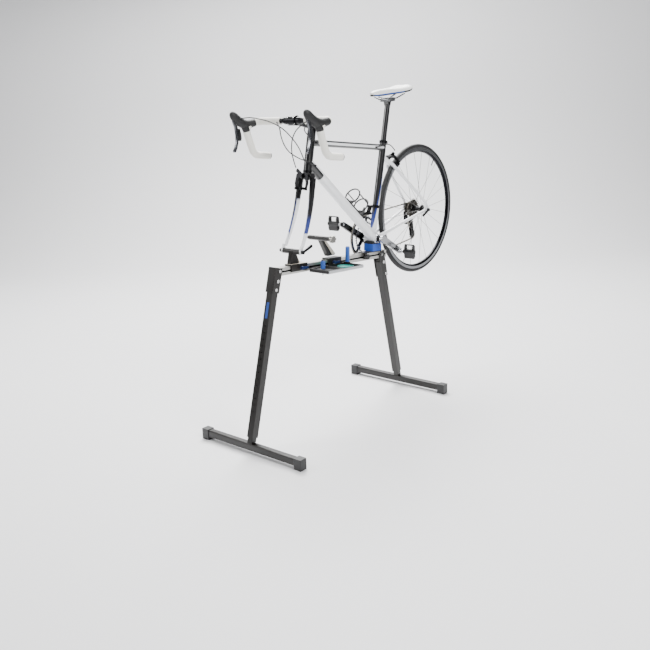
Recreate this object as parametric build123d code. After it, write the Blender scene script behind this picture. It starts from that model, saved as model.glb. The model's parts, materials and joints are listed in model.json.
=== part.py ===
from build123d import *
import math
import os

# Road bicycle clamped by its fork and bottom bracket on a folding two-leg repair stand.
# Row frame: +X to the rear of the bicycle, +Y to its drive side, +Z up, floor at Z = 0.
# "Bike frame" below means millimetres rearward (x), sideways (y) and upward (z) of the
# bottom bracket; "stand frame" means rearward of the bottom bracket and above the floor.

# Placement
X_SHIFT = 101.5
BRACKET_HEIGHT = 817.9
BIKE_TILT = 4.1
BEAM_SLOPE = 3.18

# Bicycle frame
STEER_BASE = (-543.0, 57.0)
STEER_DIR = (0.292, 0.956)
SEAT_DIR = (0.2924, 0.9563)
REAR_HUB = (398.9, 70.0)
FORK_TIP, FORK_RAKE = (-586.0, 70.0), 45.0
HEAD_R, HEAD_BORE_R = 19.0, 15.0
STEERER_R = 14.3
SEAT_TUBE_R, SEAT_TUBE_LENGTH = 16.5, 478.0
POST_R = 13.6
POST_BORE_R = 13.65
SHELL_R, SHELL_HALF = 22.0, 34.0
TUBE_WALL = 2.0
REAR_HALF, FORK_HALF = 65.0, 50.0

# Drive
CHAIN_PITCH = 12.7
ROLLER_R = 3.1
CHAIN_Y = 48.2
BIG_RING_TEETH, SMALL_RING_TEETH = 53, 39
ENGAGED_COG_TEETH, ENGAGED_COG_INDEX = 15, 7
COG_TEETH = (25, 23, 21, 19, 18, 17, 16, 15, 14, 13)
COG_PITCH_Y = 3.95
JOCKEY_TEETH = 11
UPPER_JOCKEY, LOWER_JOCKEY = (411.0, -8.0), (417.0, -73.2)
CRANK_LENGTH, CRANK_ANGLE = 172.5, -32.9
SPINDLE_R = 12.0
ARM_IN, ARM_OUT = 56.0, 69.0
PEDAL_AXLE_R, PEDAL_HANG = 7.0, 94.0
RUNNING = 0.05

# Rear wheel
WHEEL_R, TYRE_R = 334.0, 11.5
RIM_TOP_R, RIM_INNER_R, RIM_HALF = 316.0, 293.0, 10.0
AXLE_R = 6.0
SPOKE_R = 1.0
SPOKES_PER_SIDE = 12
LEFT_FLANGE_Y, RIGHT_FLANGE_Y, FLANGE_R, FLANGE_HALF = -36.0, 14.0, 22.0, 1.5

# Brakes: distance of the pad centre from the pivot and pad clearance from the rim
PIVOT_TO_PAD = 56.0
PAD_GAP = 1.6

# Handlebar
BAR_CENTRE = (-503.0, 622.0)
BAR_R, BAR_CLAMP_R, TAPE_R = 11.9, 15.9, 15.6
BAR_HALF, BAR_CUT = 210.0, 165.0
HOUSING_R = 2.5

# Stand
BEAM_HALF = 17.5
BEAM_FRONT, BEAM_REAR, BEAM_TOP_AT = -711.0, 88.0, (-719.0, 791.0)
LEG_HALF, LEG_WALL = 17.2, 3.0
INNER_HALF, INNER_WALL = 14.0, 2.5
PLATE_T = 4.0
FRONT_PIN, FRONT_LEAN = (-715.0, 736.0), 15.7
REAR_PIN, REAR_LEAN = (59.8, 690.0), 12.6
BRACKET_REACH = {"front": (58.0, 52.0), "rear": (57.0, 78.0)}
LEG_BOTTOM, FOOT_TOP = 72.0, 48.0
HOLE_PITCH, HOLE_COUNT = 29.0, 14
FOOT_HALF, FOOT_SECTION = 302.0, 32.0


# ---------------------------------------------------------------- basic shapes

def rod(start, end, radius):
    """Round bar between two points."""
    line = Vector(*end) - Vector(*start)
    return Solid.make_cylinder(radius, line.length, Plane(origin=start, z_dir=line))


def cone(start, end, r_start, r_end):
    """Tapered round bar between two points."""
    line = Vector(*end) - Vector(*start)
    if abs(r_start - r_end) < 1e-6:
        return rod(start, end, r_start)
    return Solid.make_cone(r_start, r_end, line.length, Plane(origin=start, z_dir=line))


def ball(centre, radius):
    return Pos(*centre) * Sphere(radius)


def pipe(start, end, radius, bore):
    """Round tube between two points, open at both ends."""
    line = (Vector(*end) - Vector(*start)).normalized()
    a, b = Vector(*start) - line, Vector(*end) + line
    return rod(start, end, radius) - rod(tuple(a), tuple(b), bore)


def limb(points, radii):
    """Tapered bars end to end with a ball at every inner corner."""
    shape = cone(points[0], points[1], radii[0], radii[1])
    for i in range(1, len(points) - 1):
        shape += ball(points[i], radii[i])
        shape += cone(points[i], points[i + 1], radii[i], radii[i + 1])
    return shape


def block(x, y, z):
    """Box from three (low, high) pairs."""
    return Pos(sum(x) / 2, sum(y) / 2, sum(z) / 2) * Box(x[1] - x[0], y[1] - y[0], z[1] - z[0])


def side_plate(outline, y_low, y_high):
    """Flat plate with an outline given in (x, z), between two y values."""
    face = make_face(Polyline(*[(x, y_low, z) for x, z in outline], close=True))
    return extrude(face, amount=y_high - y_low, dir=(0, 1, 0))


def disc(centre, y_low, y_high, radius):
    """Disc on an axis along y, centre given as (x, z)."""
    return rod((centre[0], y_low, centre[1]), (centre[0], y_high, centre[1]), radius)


def link(a, b, r_a, r_b, y_low, y_high):
    """Flat link with round ends at (x, z) points a and b."""
    dx, dz = b[0] - a[0], b[1] - a[1]
    length = math.hypot(dx, dz)
    turn = math.acos((r_a - r_b) / length)
    heading = math.atan2(dz, dx)
    corners = [(c[0] + r * math.cos(heading + s * turn), c[1] + r * math.sin(heading + s * turn))
               for c, r, s in ((a, r_a, 1), (a, r_a, -1), (b, r_b, -1), (b, r_b, 1))]
    return (side_plate(corners, y_low, y_high) + disc(a, y_low, y_high, r_a)
            + disc(b, y_low, y_high, r_b))


def mirrored(shape):
    return mirror(shape, about=Plane.XZ)


def both_sides(shape):
    """The shape and its mirror image as separate solids."""
    return [shape, mirrored(shape)]


def bike(shapes):
    """Carry shapes from the bike frame to the row frame."""
    place = Pos(X_SHIFT, 0, BRACKET_HEIGHT) * Rot(0, -BIKE_TILT, 0)
    return [place * s for s in as_list(shapes)]


def stand(shapes):
    """Carry shapes from the stand frame to the row frame."""
    return [Pos(X_SHIFT, 0, 0) * s for s in as_list(shapes)]


def as_list(shapes):
    return list(shapes) if isinstance(shapes, (list, tuple)) else [shapes]


def beam_frame(shapes):
    """Carry shapes from the beam's frame (x along it from the bracket, z from its axis)."""
    top = BEAM_TOP_AT[1] + BEAM_TOP_AT[0] * math.tan(math.radians(BEAM_SLOPE))
    place = Pos(0, 0, top - BEAM_HALF / math.cos(math.radians(BEAM_SLOPE))) * Rot(0, BEAM_SLOPE, 0)
    return stand([place * s for s in as_list(shapes)])


def save(name, shapes):
    """Write one node, keeping its separate pieces as separate solids."""
    solids = [solid for shape in as_list(shapes) for solid in shape.solids()]
    export_step(solids[0] if len(solids) == 1 else Compound(children=solids), f"parts/{name}.step")
    volume = sum(s.volume for s in solids)
    print(f"{name:24s} {len(solids):4d} solids {volume / 1000:9.2f} cm3")


# ---------------------------------------------------------------- bicycle frame

def steer(s, forward=0.0, y=0.0):
    """Point on the steering axis at distance s, pushed forward by an offset."""
    return (STEER_BASE[0] + STEER_DIR[0] * s - STEER_DIR[1] * forward, y,
            STEER_BASE[1] + STEER_DIR[1] * s + STEER_DIR[0] * forward)


def seat(s, back=0.0, y=0.0):
    """Point on the seat tube axis at distance s, pushed backward by an offset."""
    return (SEAT_DIR[0] * s + SEAT_DIR[1] * back, y, SEAT_DIR[1] * s - SEAT_DIR[0] * back)


HEAD_LOW, HEAD_TOP = 359.0, 521.0
CROWN_TOP, STEERER_TOP = 349.0, 572.0
DOWN_TOP, DOWN_END = (-429.0, 0, 433.7), (0, 0, 10.0)
TOP_FRONT, TOP_REAR = (-400.0, 0, 516.0), (131.0, 0, 424.5)

head_solid = rod(steer(HEAD_LOW), steer(HEAD_TOP), HEAD_R)
seat_solid = rod(seat(0), seat(SEAT_TUBE_LENGTH), SEAT_TUBE_R)
shell_solid = disc((0, 0), -SHELL_HALF, SHELL_HALF, SHELL_R)


def head_tube():
    return pipe(steer(HEAD_LOW), steer(HEAD_TOP), HEAD_R, HEAD_BORE_R)


def headset():
    lower = pipe(steer(CROWN_TOP), steer(HEAD_LOW), HEAD_R + 1, STEERER_R + RUNNING)
    upper = pipe(steer(HEAD_TOP), steer(HEAD_TOP + 11), HEAD_R, STEERER_R + RUNNING)
    return [lower, upper]


def top_tube():
    tube = pipe(TOP_FRONT, TOP_REAR, 15.0, 15.0 - TUBE_WALL)
    return tube - head_solid - seat_solid


def down_tube():
    tube = cone(DOWN_TOP, DOWN_END, 21.0, 24.0)
    tube -= cone(DOWN_TOP, DOWN_END, 21.0 - TUBE_WALL, 24.0 - TUBE_WALL)
    return tube - head_solid - seat_solid - shell_solid - rod(steer(330), steer(HEAD_LOW), HEAD_R + 1.1)


def seat_tube():
    return pipe(seat(0), seat(SEAT_TUBE_LENGTH), SEAT_TUBE_R, POST_BORE_R) - shell_solid


def bracket_shell():
    return pipe((0, -SHELL_HALF, 0), (0, SHELL_HALF, 0), SHELL_R, SHELL_R - 4)


def bracket_cups():
    cup = pipe((0, SHELL_HALF, 0), (0, SHELL_HALF + 7, 0), SHELL_R - 0.5, SPINDLE_R + RUNNING)
    return both_sides(cup)


def dropout_solid():
    """Right rear dropout plate with the hub slot and the derailleur hanger."""
    x, z = REAR_HUB
    outline = [(x - 30, z + 2), (x - 22, z + 14), (x - 14, z + 40), (x - 4, z + 40), (x + 13, z + 8),
               (x + 13, z - 12), (x - 2, z - 13), (x - 30, z - 8)]
    plate = side_plate(outline, REAR_HALF, REAR_HALF + 5)
    return plate - disc(REAR_HUB, REAR_HALF - 1, REAR_HALF + 6, AXLE_R - 1)


def dropouts():
    x, z = REAR_HUB
    hanger = side_plate([(x - 4, z - 12), (x + 12, z - 12), (x + 18, z - 34), (x + 4, z - 34)],
                        REAR_HALF, REAR_HALF + 5)
    return [dropout_solid() + hanger, mirrored(dropout_solid())]


def chain_stays():
    stay = limb([(12, 22.5, 3), (190, 43, 36), (384, 67.5, 71)], [10.0, 8.0, 6.5])
    cup = disc((0, 0), SHELL_HALF - 1, SHELL_HALF + 8, SHELL_R)
    stay = stay - shell_solid - cup - seat_solid - dropout_solid() - rod(DOWN_TOP, DOWN_END, 25.0)
    return both_sides(largest(stay))


def seat_stays():
    stay = limb([(166, 8, 352), (188, 21, 326), (389, 67.5, 108)], [8.5, 8.0, 6.5])
    return [largest(s - wishbone_stub()) for s in both_sides(stay - dropout_solid())]


def wishbone_stub():
    """Piece behind the seat tube that joins the two seat stays."""
    return rod(seat(404), (176, 0, 342), 12.0) - seat_solid


def largest(shape):
    """The biggest solid of a cut result, without the offcuts."""
    return max(shape.solids(), key=lambda s: s.volume)


def seat_clamp():
    low, high = SEAT_TUBE_LENGTH - 14, SEAT_TUBE_LENGTH - 1
    ring = rod(seat(low), seat(high), SEAT_TUBE_R + 3.5)
    ear = Plane(origin=seat((low + high) / 2, back=SEAT_TUBE_R + 5),
                z_dir=(SEAT_DIR[0], 0, SEAT_DIR[1])) * Box(12, 16, 13)
    return ring + ear - seat_solid


def cable_stops():
    """Barrels on the frame where the housings end, each in line with its housing's last run."""
    tubes = head_solid + cone(DOWN_TOP, DOWN_END, 21.0, 24.0) + rod(TOP_FRONT, TOP_REAR, 15.0)
    stops = []
    for name, at_end in (("right_shift", True), ("left_shift", True), ("rear_brake", True),
                         ("rear_loop", False)):
        route = HOUSINGS[f"housing_{name}"]
        before, end = (route[-2], route[-1]) if at_end else (route[1], route[0])
        way = (Vector(*end) - Vector(*before)).normalized()
        stops.append(largest(rod(end, tuple(Vector(*end) + way * 11), 4.0) - tubes))
    return stops


def fork_crown():
    """Crown block with the steerer tube through the headset."""
    crown = rod(steer(318), steer(CROWN_TOP), 19.0)
    wings = rod(steer(333, y=-35), steer(333, y=35), 14.5)
    steerer = rod(steer(CROWN_TOP), steer(STEERER_TOP), STEERER_R)
    return crown + wings + steerer


def fork_blade():
    """Right fork blade from the crown to the dropout, with a forward rake."""
    path, radii = [], []
    for i in range(8):
        s = 326 - 43.5 * i
        path.append(steer(s, forward=FORK_RAKE * (max(0, 250 - s) / 250) ** 2, y=36 + 1.9 * i))
        radii.append(14.5 - 1.07 * i)
    blade = limb(path, radii) - fork_crown()
    tip = fork_tip()
    return largest(blade - tip) + tip


def fork_tip():
    x, z = FORK_TIP
    outline = [(x + 1, z + 30), (x + 14, z + 26), (x + 11, z + 4), (x + 8, z - 9), (x + 3.2, z - 10),
               (x + 3.2, z + 3.2), (x - 3.2, z + 3.2), (x - 3.2, z - 10), (x - 10, z - 9), (x - 11, z + 5)]
    return side_plate(outline, FORK_HALF, FORK_HALF + 6)


# ---------------------------------------------------------------- cockpit

def stem():
    low, high = HEAD_TOP + 11, STEERER_TOP
    column = rod(steer(low), steer(high), 18.5)
    x, z = BAR_CENTRE
    arm = rod(steer((low + high) / 2), (x, 0, z), 14.5)
    clamp = disc(BAR_CENTRE, -22, 22, BAR_CLAMP_R + 5.5)
    body = column + arm + clamp - disc(BAR_CENTRE, -23, 23, BAR_CLAMP_R)
    return body - rod(steer(low - 1), steer(high + 1), STEERER_R)


def stem_hardware():
    """Top cap and the two steerer clamp screws."""
    cap = rod(steer(STEERER_TOP), steer(STEERER_TOP + 5), 17.0)
    screws = [rod(steer(HEAD_TOP + d, forward=-18.4, y=-6), steer(HEAD_TOP + d, forward=-20, y=-6), 3.5)
              for d in (21, 42)]
    cap -= rod(steer(STEERER_TOP + 2), steer(STEERER_TOP + 6), 4.0)
    return [cap] + [s - stem() for s in screws]


def bar_path(y_start):
    """Right half of the handlebar's centre line, from a start at y to the end of the drop."""
    x, z = BAR_CENTRE
    points = [(x, y_start, z), (x, BAR_HALF, z), (x - 86, BAR_HALF, z - 9), (x - 45, BAR_HALF, z - 141),
              (x + 48, BAR_HALF, z - 157)]
    return FilletPolyline(*points, radius=(34.0, 34.0, 44.0))


def along(path, radius):
    """Round bar swept along a path of straight runs and arcs."""
    return sweep(Plane(origin=path @ 0, z_dir=path % 0) * Circle(radius), path=path)


def handlebar():
    """Bar with its clamp bulge, in three lengths that meet where the forward bends begin."""
    half = along(bar_path(0.0), BAR_R)
    bulge = disc(BAR_CENTRE, 0, 42, BAR_CLAMP_R) + cone(
        (BAR_CENTRE[0], 42, BAR_CENTRE[1]), (BAR_CENTRE[0], 58, BAR_CENTRE[1]), BAR_CLAMP_R, BAR_R)
    half += bulge
    middle = block((-560, -440), (-BAR_CUT, BAR_CUT), (580, 660))
    whole = half + mirrored(half)
    return [whole & middle] + as_list(whole - middle)


def bar_tape():
    """Wrapped grip over the right half of the handlebar."""
    return along(bar_path(72.0), TAPE_R) - along(bar_path(72.0), BAR_R)


def bar_plugs():
    path = bar_path(72.0)
    end, way = path @ 1, path % 1
    return both_sides(rod(tuple(end), tuple(end + way * 4), TAPE_R - 0.6))


def hood():
    """Right brake hood on the front bend of the handlebar."""
    y = BAR_HALF
    shape = limb([(-574, y, 590), (-604, y, 622), (-636, y, 646), (-647, y, 664)],
                 [13.0, 16.5, 18.0, 16.5])
    nose = side_plate([(-662, 628), (-668, 655), (-660, 668), (-630, 668), (-630, 628)], y - 11, y + 11)
    shape = shape + nose - along(bar_path(72.0), TAPE_R)
    slot = side_plate([(-690, 596), (-690, 658), (-638, 658), (-620, 640), (-611, 596)], y - 6.5, y + 6.5)
    return largest(shape - slot)


LEVER_PIVOT = (-647.0, 643.0)


def brake_lever():
    """Right brake lever blade, hung from the hood's pivot."""
    y = BAR_HALF
    outline = [(-654, 648), (-643, 650), (-639, 640), (-634, 610), (-635, 575), (-640, 545),
               (-650, 522), (-661, 508), (-669, 508), (-671, 514), (-660, 528), (-650, 550),
               (-646, 578), (-648, 612), (-656, 636)]
    blade = side_plate(outline, y - 5, y + 5)
    return blade - disc(LEVER_PIVOT, y - 6, y + 6, 2.5 + RUNNING)


def lever_axle():
    """Pin across the hood's slot that the lever swings on."""
    return disc(LEVER_PIVOT, BAR_HALF - 6.5, BAR_HALF + 6.5, 2.5)





def shift_paddle():
    """Small right shift paddle behind the brake lever."""
    y = BAR_HALF
    outline = [(-631.5, 604), (-625, 604), (-621, 585), (-620, 562), (-625, 552), (-632, 552),
               (-632.5, 575)]
    return side_plate(outline, y - 9, y + 3)


# ---------------------------------------------------------------- seat

def seatpost():
    post = rod(seat(330), seat(648), POST_R)
    head = side_plate([(181, 618), (196, 618), (206, 637), (176, 637)], -13, 13)
    return post + head - block((150, 260), (-40, 40), (637, 700))


def rail_path():
    return FilletPolyline((104, 13, 664), (158, 22, 648), (236, 22, 648), (300, 27, 664),
                          radius=(60.0, 60.0))


def saddle_rails():
    return both_sides(along(rail_path(), 3.5))


def saddle_clamp():
    """Lower cradle and upper plate that grip the rails."""
    lower = block((172, 214), (-30, 30), (637, 648))
    upper = block((176, 210), (-30, 30), (648, 655))
    body = lower + upper
    for y in (-22, 22):
        body -= rod((150, y, 648), (240, y, 648), 3.5)
    return body


def saddle():
    """Padded saddle, narrow at the nose and wide at the tail."""
    stations = ((66, 15, 10, 686), (84, 19, 15, 684), (130, 22, 18, 683), (190, 30, 20, 682),
                (240, 47, 21, 682), (285, 66, 22, 684), (318, 69, 21, 686), (336, 52, 15, 689))
    faces = [Plane(origin=(x, 0, z), z_dir=(1, 0, 0), x_dir=(0, 1, 0)) * Ellipse(w, h)
             for x, w, h, z in stations]
    body = loft(faces)
    return body - block((0, 400), (-100, 100), (600, 667.5))


# ---------------------------------------------------------------- drive

def pitch_radius(teeth):
    return CHAIN_PITCH / (2 * math.sin(math.pi / teeth))


def toothed(centre, teeth, phase, y_low, y_high, bore):
    """Sprocket with rounded gaps for the chain's rollers; phase is the angle of one gap."""
    r = pitch_radius(teeth)
    sketch = Circle(r + 3.2)
    mouth = make_face(Polyline((r, -4.0), (r + 4.8, -6.0), (r + 4.8, 6.0), (r, 4.0), close=True))
    gap = mouth + Pos(r, 0) * Circle(4.1)
    sketch -= [Rot(0, 0, math.degrees(phase) + 360 * i / teeth) * gap for i in range(teeth)]
    sketch -= Circle(bore)
    flat = extrude(sketch, amount=y_high - y_low)
    return Plane(origin=(centre[0], y_low, centre[1]), x_dir=(1, 0, 0), z_dir=(0, 1, 0)) * (
        mirror(flat, about=Plane.XZ))


def belt(wheels):
    """Straight runs of a chain round wheels given as (centre, radius, turn), turn +1 or -1.

    Each run is (start, end) in (x, z); the arc between two runs turns about the wheel's centre.
    """
    runs = []
    for (ca, ra, ta), (cb, rb, tb) in zip(wheels, wheels[1:] + wheels[:1]):
        dx, dz = cb[0] - ca[0], cb[1] - ca[1]
        span = math.hypot(dx, dz)
        heading = math.atan2(dz, dx) - math.asin((tb * rb - ta * ra) / span)
        nx, nz = -math.sin(heading), math.cos(heading)
        runs.append(((ca[0] - ta * ra * nx, ca[1] - ta * ra * nz),
                     (cb[0] - tb * rb * nx, cb[1] - tb * rb * nz)))
    return runs


CHAIN_WHEELS = [((0.0, 0.0), pitch_radius(BIG_RING_TEETH), 1),
                (LOWER_JOCKEY, pitch_radius(JOCKEY_TEETH), 1),
                (UPPER_JOCKEY, pitch_radius(JOCKEY_TEETH), -1),
                (REAR_HUB, pitch_radius(ENGAGED_COG_TEETH), 1)]
WHEEL_TEETH = (BIG_RING_TEETH, JOCKEY_TEETH, JOCKEY_TEETH, ENGAGED_COG_TEETH)


def swept_angle(centre, start, end, turn):
    """Angle turned about a centre from start to end in the given direction."""
    a = math.atan2(start[1] - centre[1], start[0] - centre[0])
    b = math.atan2(end[1] - centre[1], end[0] - centre[0])
    return a, (b - a) * turn % (2 * math.pi)


def chain_walk():
    """Roller centres one pitch apart round the loop, and a gap angle for each wheel."""
    runs = belt(CHAIN_WHEELS)
    rollers, phases, left = [], [], 0.0
    for i, (centre, radius, turn) in enumerate(CHAIN_WHEELS):
        arrive, leave = runs[i - 1][1], runs[i][0]
        start, swept = swept_angle(centre, arrive, leave, turn)
        step = 2 * math.pi / WHEEL_TEETH[i]
        angle = left * step
        phases.append(start + turn * angle)
        while angle < swept:
            at = start + turn * angle
            rollers.append((centre[0] + radius * math.cos(at), centre[1] + radius * math.sin(at)))
            angle += step
        left = (angle - swept) / step
        (x0, z0), (x1, z1) = runs[i]
        length = math.hypot(x1 - x0, z1 - z0)
        at = left * CHAIN_PITCH
        while at < length:
            rollers.append((x0 + (x1 - x0) * at / length, z0 + (z1 - z0) * at / length))
            at += CHAIN_PITCH
        left = (at - length) / CHAIN_PITCH
    return rollers, phases, left


ROLLERS, PHASES, CHAIN_REMAINDER = chain_walk()


def chain():
    """Two side bands joined by rollers that sit in the sprockets' gaps."""
    runs = belt(CHAIN_WHEELS)
    edges = []
    for i, (centre, radius, turn) in enumerate(CHAIN_WHEELS):
        arrive, leave = runs[i - 1][1], runs[i][0]
        start, swept = swept_angle(centre, arrive, leave, turn)
        middle = start + turn * swept / 2
        mid = (centre[0] + radius * math.cos(middle), centre[1] + radius * math.sin(middle))
        edges.append(ThreePointArc((arrive[0], arrive[1]), mid, (leave[0], leave[1])))
        edges.append(Line(runs[i][0], runs[i][1]))
    loop = Wire(edges)
    outer = make_face(offset(loop, amount=3.6).edges())
    inner = make_face(offset(loop, amount=-3.6).edges())
    ring = max((outer - inner, inner - outer), key=lambda f: f.area)
    flat = Rot(90, 0, 0) * extrude(ring, amount=1.2)
    bands = [Pos(0, CHAIN_Y + s, 0) * flat for s in (-1.8, 3.0)]
    rollers = [disc(r, CHAIN_Y - 1.8, CHAIN_Y + 1.8, ROLLER_R) for r in ROLLERS]
    return bands + rollers


def crank_point(radius, side=-1):
    """Point on the crank's line; side -1 is the left arm, +1 the right."""
    a = math.radians(CRANK_ANGLE)
    return (-side * radius * math.cos(a), -side * radius * math.sin(a))


def crank_left():
    arm = link((0, 0), crank_point(CRANK_LENGTH), 17.0, 12.5, -ARM_OUT, -ARM_IN)
    arm -= disc((0, 0), -ARM_OUT - 1, -ARM_IN + 1, SPINDLE_R)
    return arm - disc(crank_point(CRANK_LENGTH), -ARM_OUT - 1, -ARM_IN + 1, PEDAL_AXLE_R + RUNNING)


def crank_right():
    """Right arm with the five-armed spider that carries the chainrings."""
    end = crank_point(CRANK_LENGTH, 1)
    body = link((0, 0), end, 18.0, 12.5, ARM_IN, ARM_OUT)
    spider = disc((0, 0), 51.5, ARM_IN + 2, 24.0)
    for i in range(5):
        a = math.radians(180 + CRANK_ANGLE + 72 * i)
        spider += link((0, 0), (65 * math.cos(a), 65 * math.sin(a)), 14.0, 8.0, 51.5, 55.5)
    body += spider
    body -= disc((0, 0), 50, ARM_OUT + 1, SPINDLE_R)
    return body - disc(end, ARM_IN - 1, ARM_OUT + 1, PEDAL_AXLE_R + RUNNING)


def spindle():
    left = SHELL_HALF + 7.3
    return disc((0, 0), -ARM_OUT + 2, ARM_OUT - 2, SPINDLE_R) + disc((0, 0), -ARM_IN, -left, 16.0) \
        + disc((0, 0), left, 51.5, 16.0)


def crank_cap():
    """Dust caps at both ends of the spindle."""
    return both_sides(disc((0, 0), ARM_OUT - 2, ARM_OUT + 1.5, SPINDLE_R - 0.2))


def big_ring():
    ring = toothed((0, 0), BIG_RING_TEETH, PHASES[0], CHAIN_Y - 1.1, CHAIN_Y + 1.1, 93.0)
    lugs = [link((96 * math.cos(a), 96 * math.sin(a)), (65 * math.cos(a), 65 * math.sin(a)), 9.0, 8.0,
                 CHAIN_Y - 1.1, CHAIN_Y + 1.1)
            for a in (math.radians(180 + CRANK_ANGLE + 72 * i) for i in range(5))]
    for lug in lugs:
        ring += lug & disc((0, 0), CHAIN_Y - 2, CHAIN_Y + 2, 100)
    return ring


def small_ring():
    ring = toothed((0, 0), SMALL_RING_TEETH, 0.0, CHAIN_Y - 6.9, CHAIN_Y - 4.9, 70.0)
    for i in range(5):
        a = math.radians(180 + CRANK_ANGLE + 72 * i)
        lug = link((72 * math.cos(a), 72 * math.sin(a)), (65 * math.cos(a), 65 * math.sin(a)), 8.0, 8.0,
                   CHAIN_Y - 6.9, CHAIN_Y - 4.9)
        ring += lug & disc((0, 0), 0, 60, 75.0)
    return ring


def ring_bolts():
    """Spacers and bolts that hold the two chainrings to the spider."""
    bolts = []
    for i in range(5):
        a = math.radians(180 + CRANK_ANGLE + 72 * i)
        at = (65 * math.cos(a), 65 * math.sin(a))
        bolts += [disc(at, CHAIN_Y - 4.9, CHAIN_Y - 1.1, 5.0), disc(at, CHAIN_Y + 1.1, 51.5, 5.0)]
        if i > 0:
            bolts.append(disc(at, 55.5, 57.0, 4.5))
    return bolts


def pedal(side):
    """Clip-in pedal with its axle; side -1 is left, +1 right."""
    x, z = crank_point(CRANK_LENGTH, side)
    y0 = ARM_IN + 1
    axle = disc((x, z), y0, ARM_OUT, PEDAL_AXLE_R) + disc((x, z), ARM_OUT + 0.3, 84, 8.5)
    axle += disc((x, z), ARM_OUT, ARM_OUT + 0.3, PEDAL_AXLE_R)
    body = disc((x, z), 84, 150, 11.0)
    platform = side_plate([(x - 38, z + 2), (x - 30, z + 10), (x + 24, z + 13), (x + 34, z + 4),
                           (x + 34, z - 5), (x + 20, z - 10), (x - 24, z - 9), (x - 38, z - 4)], 92, 146)
    loop = block((x - 33, x - 12), (99, 139), (z - 14, z + 14))
    shape = (axle + body + (platform - loop)).rotate(Axis((x, 0, z), (0, 1, 0)), PEDAL_HANG)
    return shape if side > 0 else mirrored(shape)


def cog_y(index):
    """Middle of a sprocket's thickness, from the big inner one out."""
    return CHAIN_Y + (index - ENGAGED_COG_INDEX) * COG_PITCH_Y


def cassette():
    """Sprocket stack with its spacers on the freehub."""
    pieces = []
    for i, teeth in enumerate(COG_TEETH):
        phase = PHASES[3] if i == ENGAGED_COG_INDEX else 0.0
        y = cog_y(i)
        pieces.append(toothed(REAR_HUB, teeth, phase, y - 0.8, y + 0.8, 17.0))
        if i < len(COG_TEETH) - 1:
            step = disc(REAR_HUB, y + 0.8, y + COG_PITCH_Y - 0.8, 20.5)
            pieces.append(step - disc(REAR_HUB, y, y + COG_PITCH_Y, 17.0))
    return pieces


def freehub():
    low, high = cog_y(0) - 2.5, cog_y(len(COG_TEETH) - 1) + 3.0
    body = disc(REAR_HUB, low, high, 17.0) + disc(REAR_HUB, cog_y(9) + 0.8, high, 19.0)
    return body - disc(REAR_HUB, low - 1, high + 1, AXLE_R + RUNNING)


def jockey(centre, phase):
    """Jockey wheel with a bush on each face."""
    bore = 4.0 + RUNNING
    wheel = toothed(centre, JOCKEY_TEETH, phase, CHAIN_Y - 1.0, CHAIN_Y + 1.0, bore)
    bushes = [disc(centre, CHAIN_Y + y, CHAIN_Y + y + 2.5, 8.0) - disc(centre, 0, 90, bore)
              for y in (-3.5, 1.0)]
    return [wheel] + bushes


def rear_derailleur():
    """Body, knuckles and the two cage plates that carry the jockey wheels."""
    inner = link(UPPER_JOCKEY, LOWER_JOCKEY, 11.0, 11.0, CHAIN_Y - 7.5, CHAIN_Y - 5.5)
    outer = link(UPPER_JOCKEY, LOWER_JOCKEY, 13.0, 12.0, CHAIN_Y + 5.5, CHAIN_Y + 7.5)
    axles = [disc(c, CHAIN_Y - 7.5, CHAIN_Y + 7.5, 4.0) for c in (UPPER_JOCKEY, LOWER_JOCKEY)]
    cage = inner + outer + axles[0] + axles[1]
    knuckle = disc(UPPER_JOCKEY, CHAIN_Y + 7.5, 84, 13.0)
    arm = link(UPPER_JOCKEY, (REAR_HUB[0] + 11, REAR_HUB[1] - 28), 12.0, 11.0, 71.0, 84.0)
    return cage + knuckle + arm


def front_derailleur():
    """Chain cage, link arm and the clamp on the seat tube."""
    cage_outline = [(-26, 112.5), (-20, 121), (20, 124), (58, 118), (64, 107), (50, 103.5), (20, 113)]
    outer = side_plate(cage_outline, CHAIN_Y + 4.6, CHAIN_Y + 6.0)
    inner = side_plate(cage_outline, CHAIN_Y - 7.0, CHAIN_Y - 5.6)
    bridge = block((10, 34), (CHAIN_Y - 7.0, CHAIN_Y + 6.0), (121, 124))
    return outer + inner + bridge


def front_derailleur_mount():
    arm = link((30, 128), (43, 148), 8.0, 8.0, 26.0, 41.0) - block((0, 80), (20, 60), (100, 124.2))
    band = rod(seat(148), seat(162), SEAT_TUBE_R + 3.0) - seat_solid
    lug = block((30, 56), (17, 30), (142, 154)) - seat_solid
    return arm + band + lug


# ---------------------------------------------------------------- rear wheel

def revolve_section(points):
    """Ring on the rear hub's axis from a section given as (radius, y)."""
    face = make_face(Polyline(*[(r, y, 0) for r, y in points], close=True))
    return Pos(REAR_HUB[0], 0, REAR_HUB[1]) * revolve(face, axis=Axis.Y)


def rim():
    side = [(RIM_TOP_R, RIM_HALF), (RIM_TOP_R, RIM_HALF - 1.6), (RIM_TOP_R - 5, RIM_HALF - 2.2)]
    low = [(RIM_TOP_R - 13, RIM_HALF), (RIM_INNER_R, 4.5)]
    section = ([(r, -y) for r, y in side] + [(r, y) for r, y in reversed(side)]
               + low + [(r, -y) for r, y in reversed(low)])
    return revolve_section(section)


def tyre():
    hoop = Pos(REAR_HUB[0], 0, REAR_HUB[1]) * Rot(90, 0, 0) * Torus(WHEEL_R - TYRE_R, TYRE_R)
    air = Pos(REAR_HUB[0], 0, REAR_HUB[1]) * Rot(90, 0, 0) * Torus(WHEEL_R - TYRE_R, TYRE_R - 2.5)
    return largest(hoop - air - rim())


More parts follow.
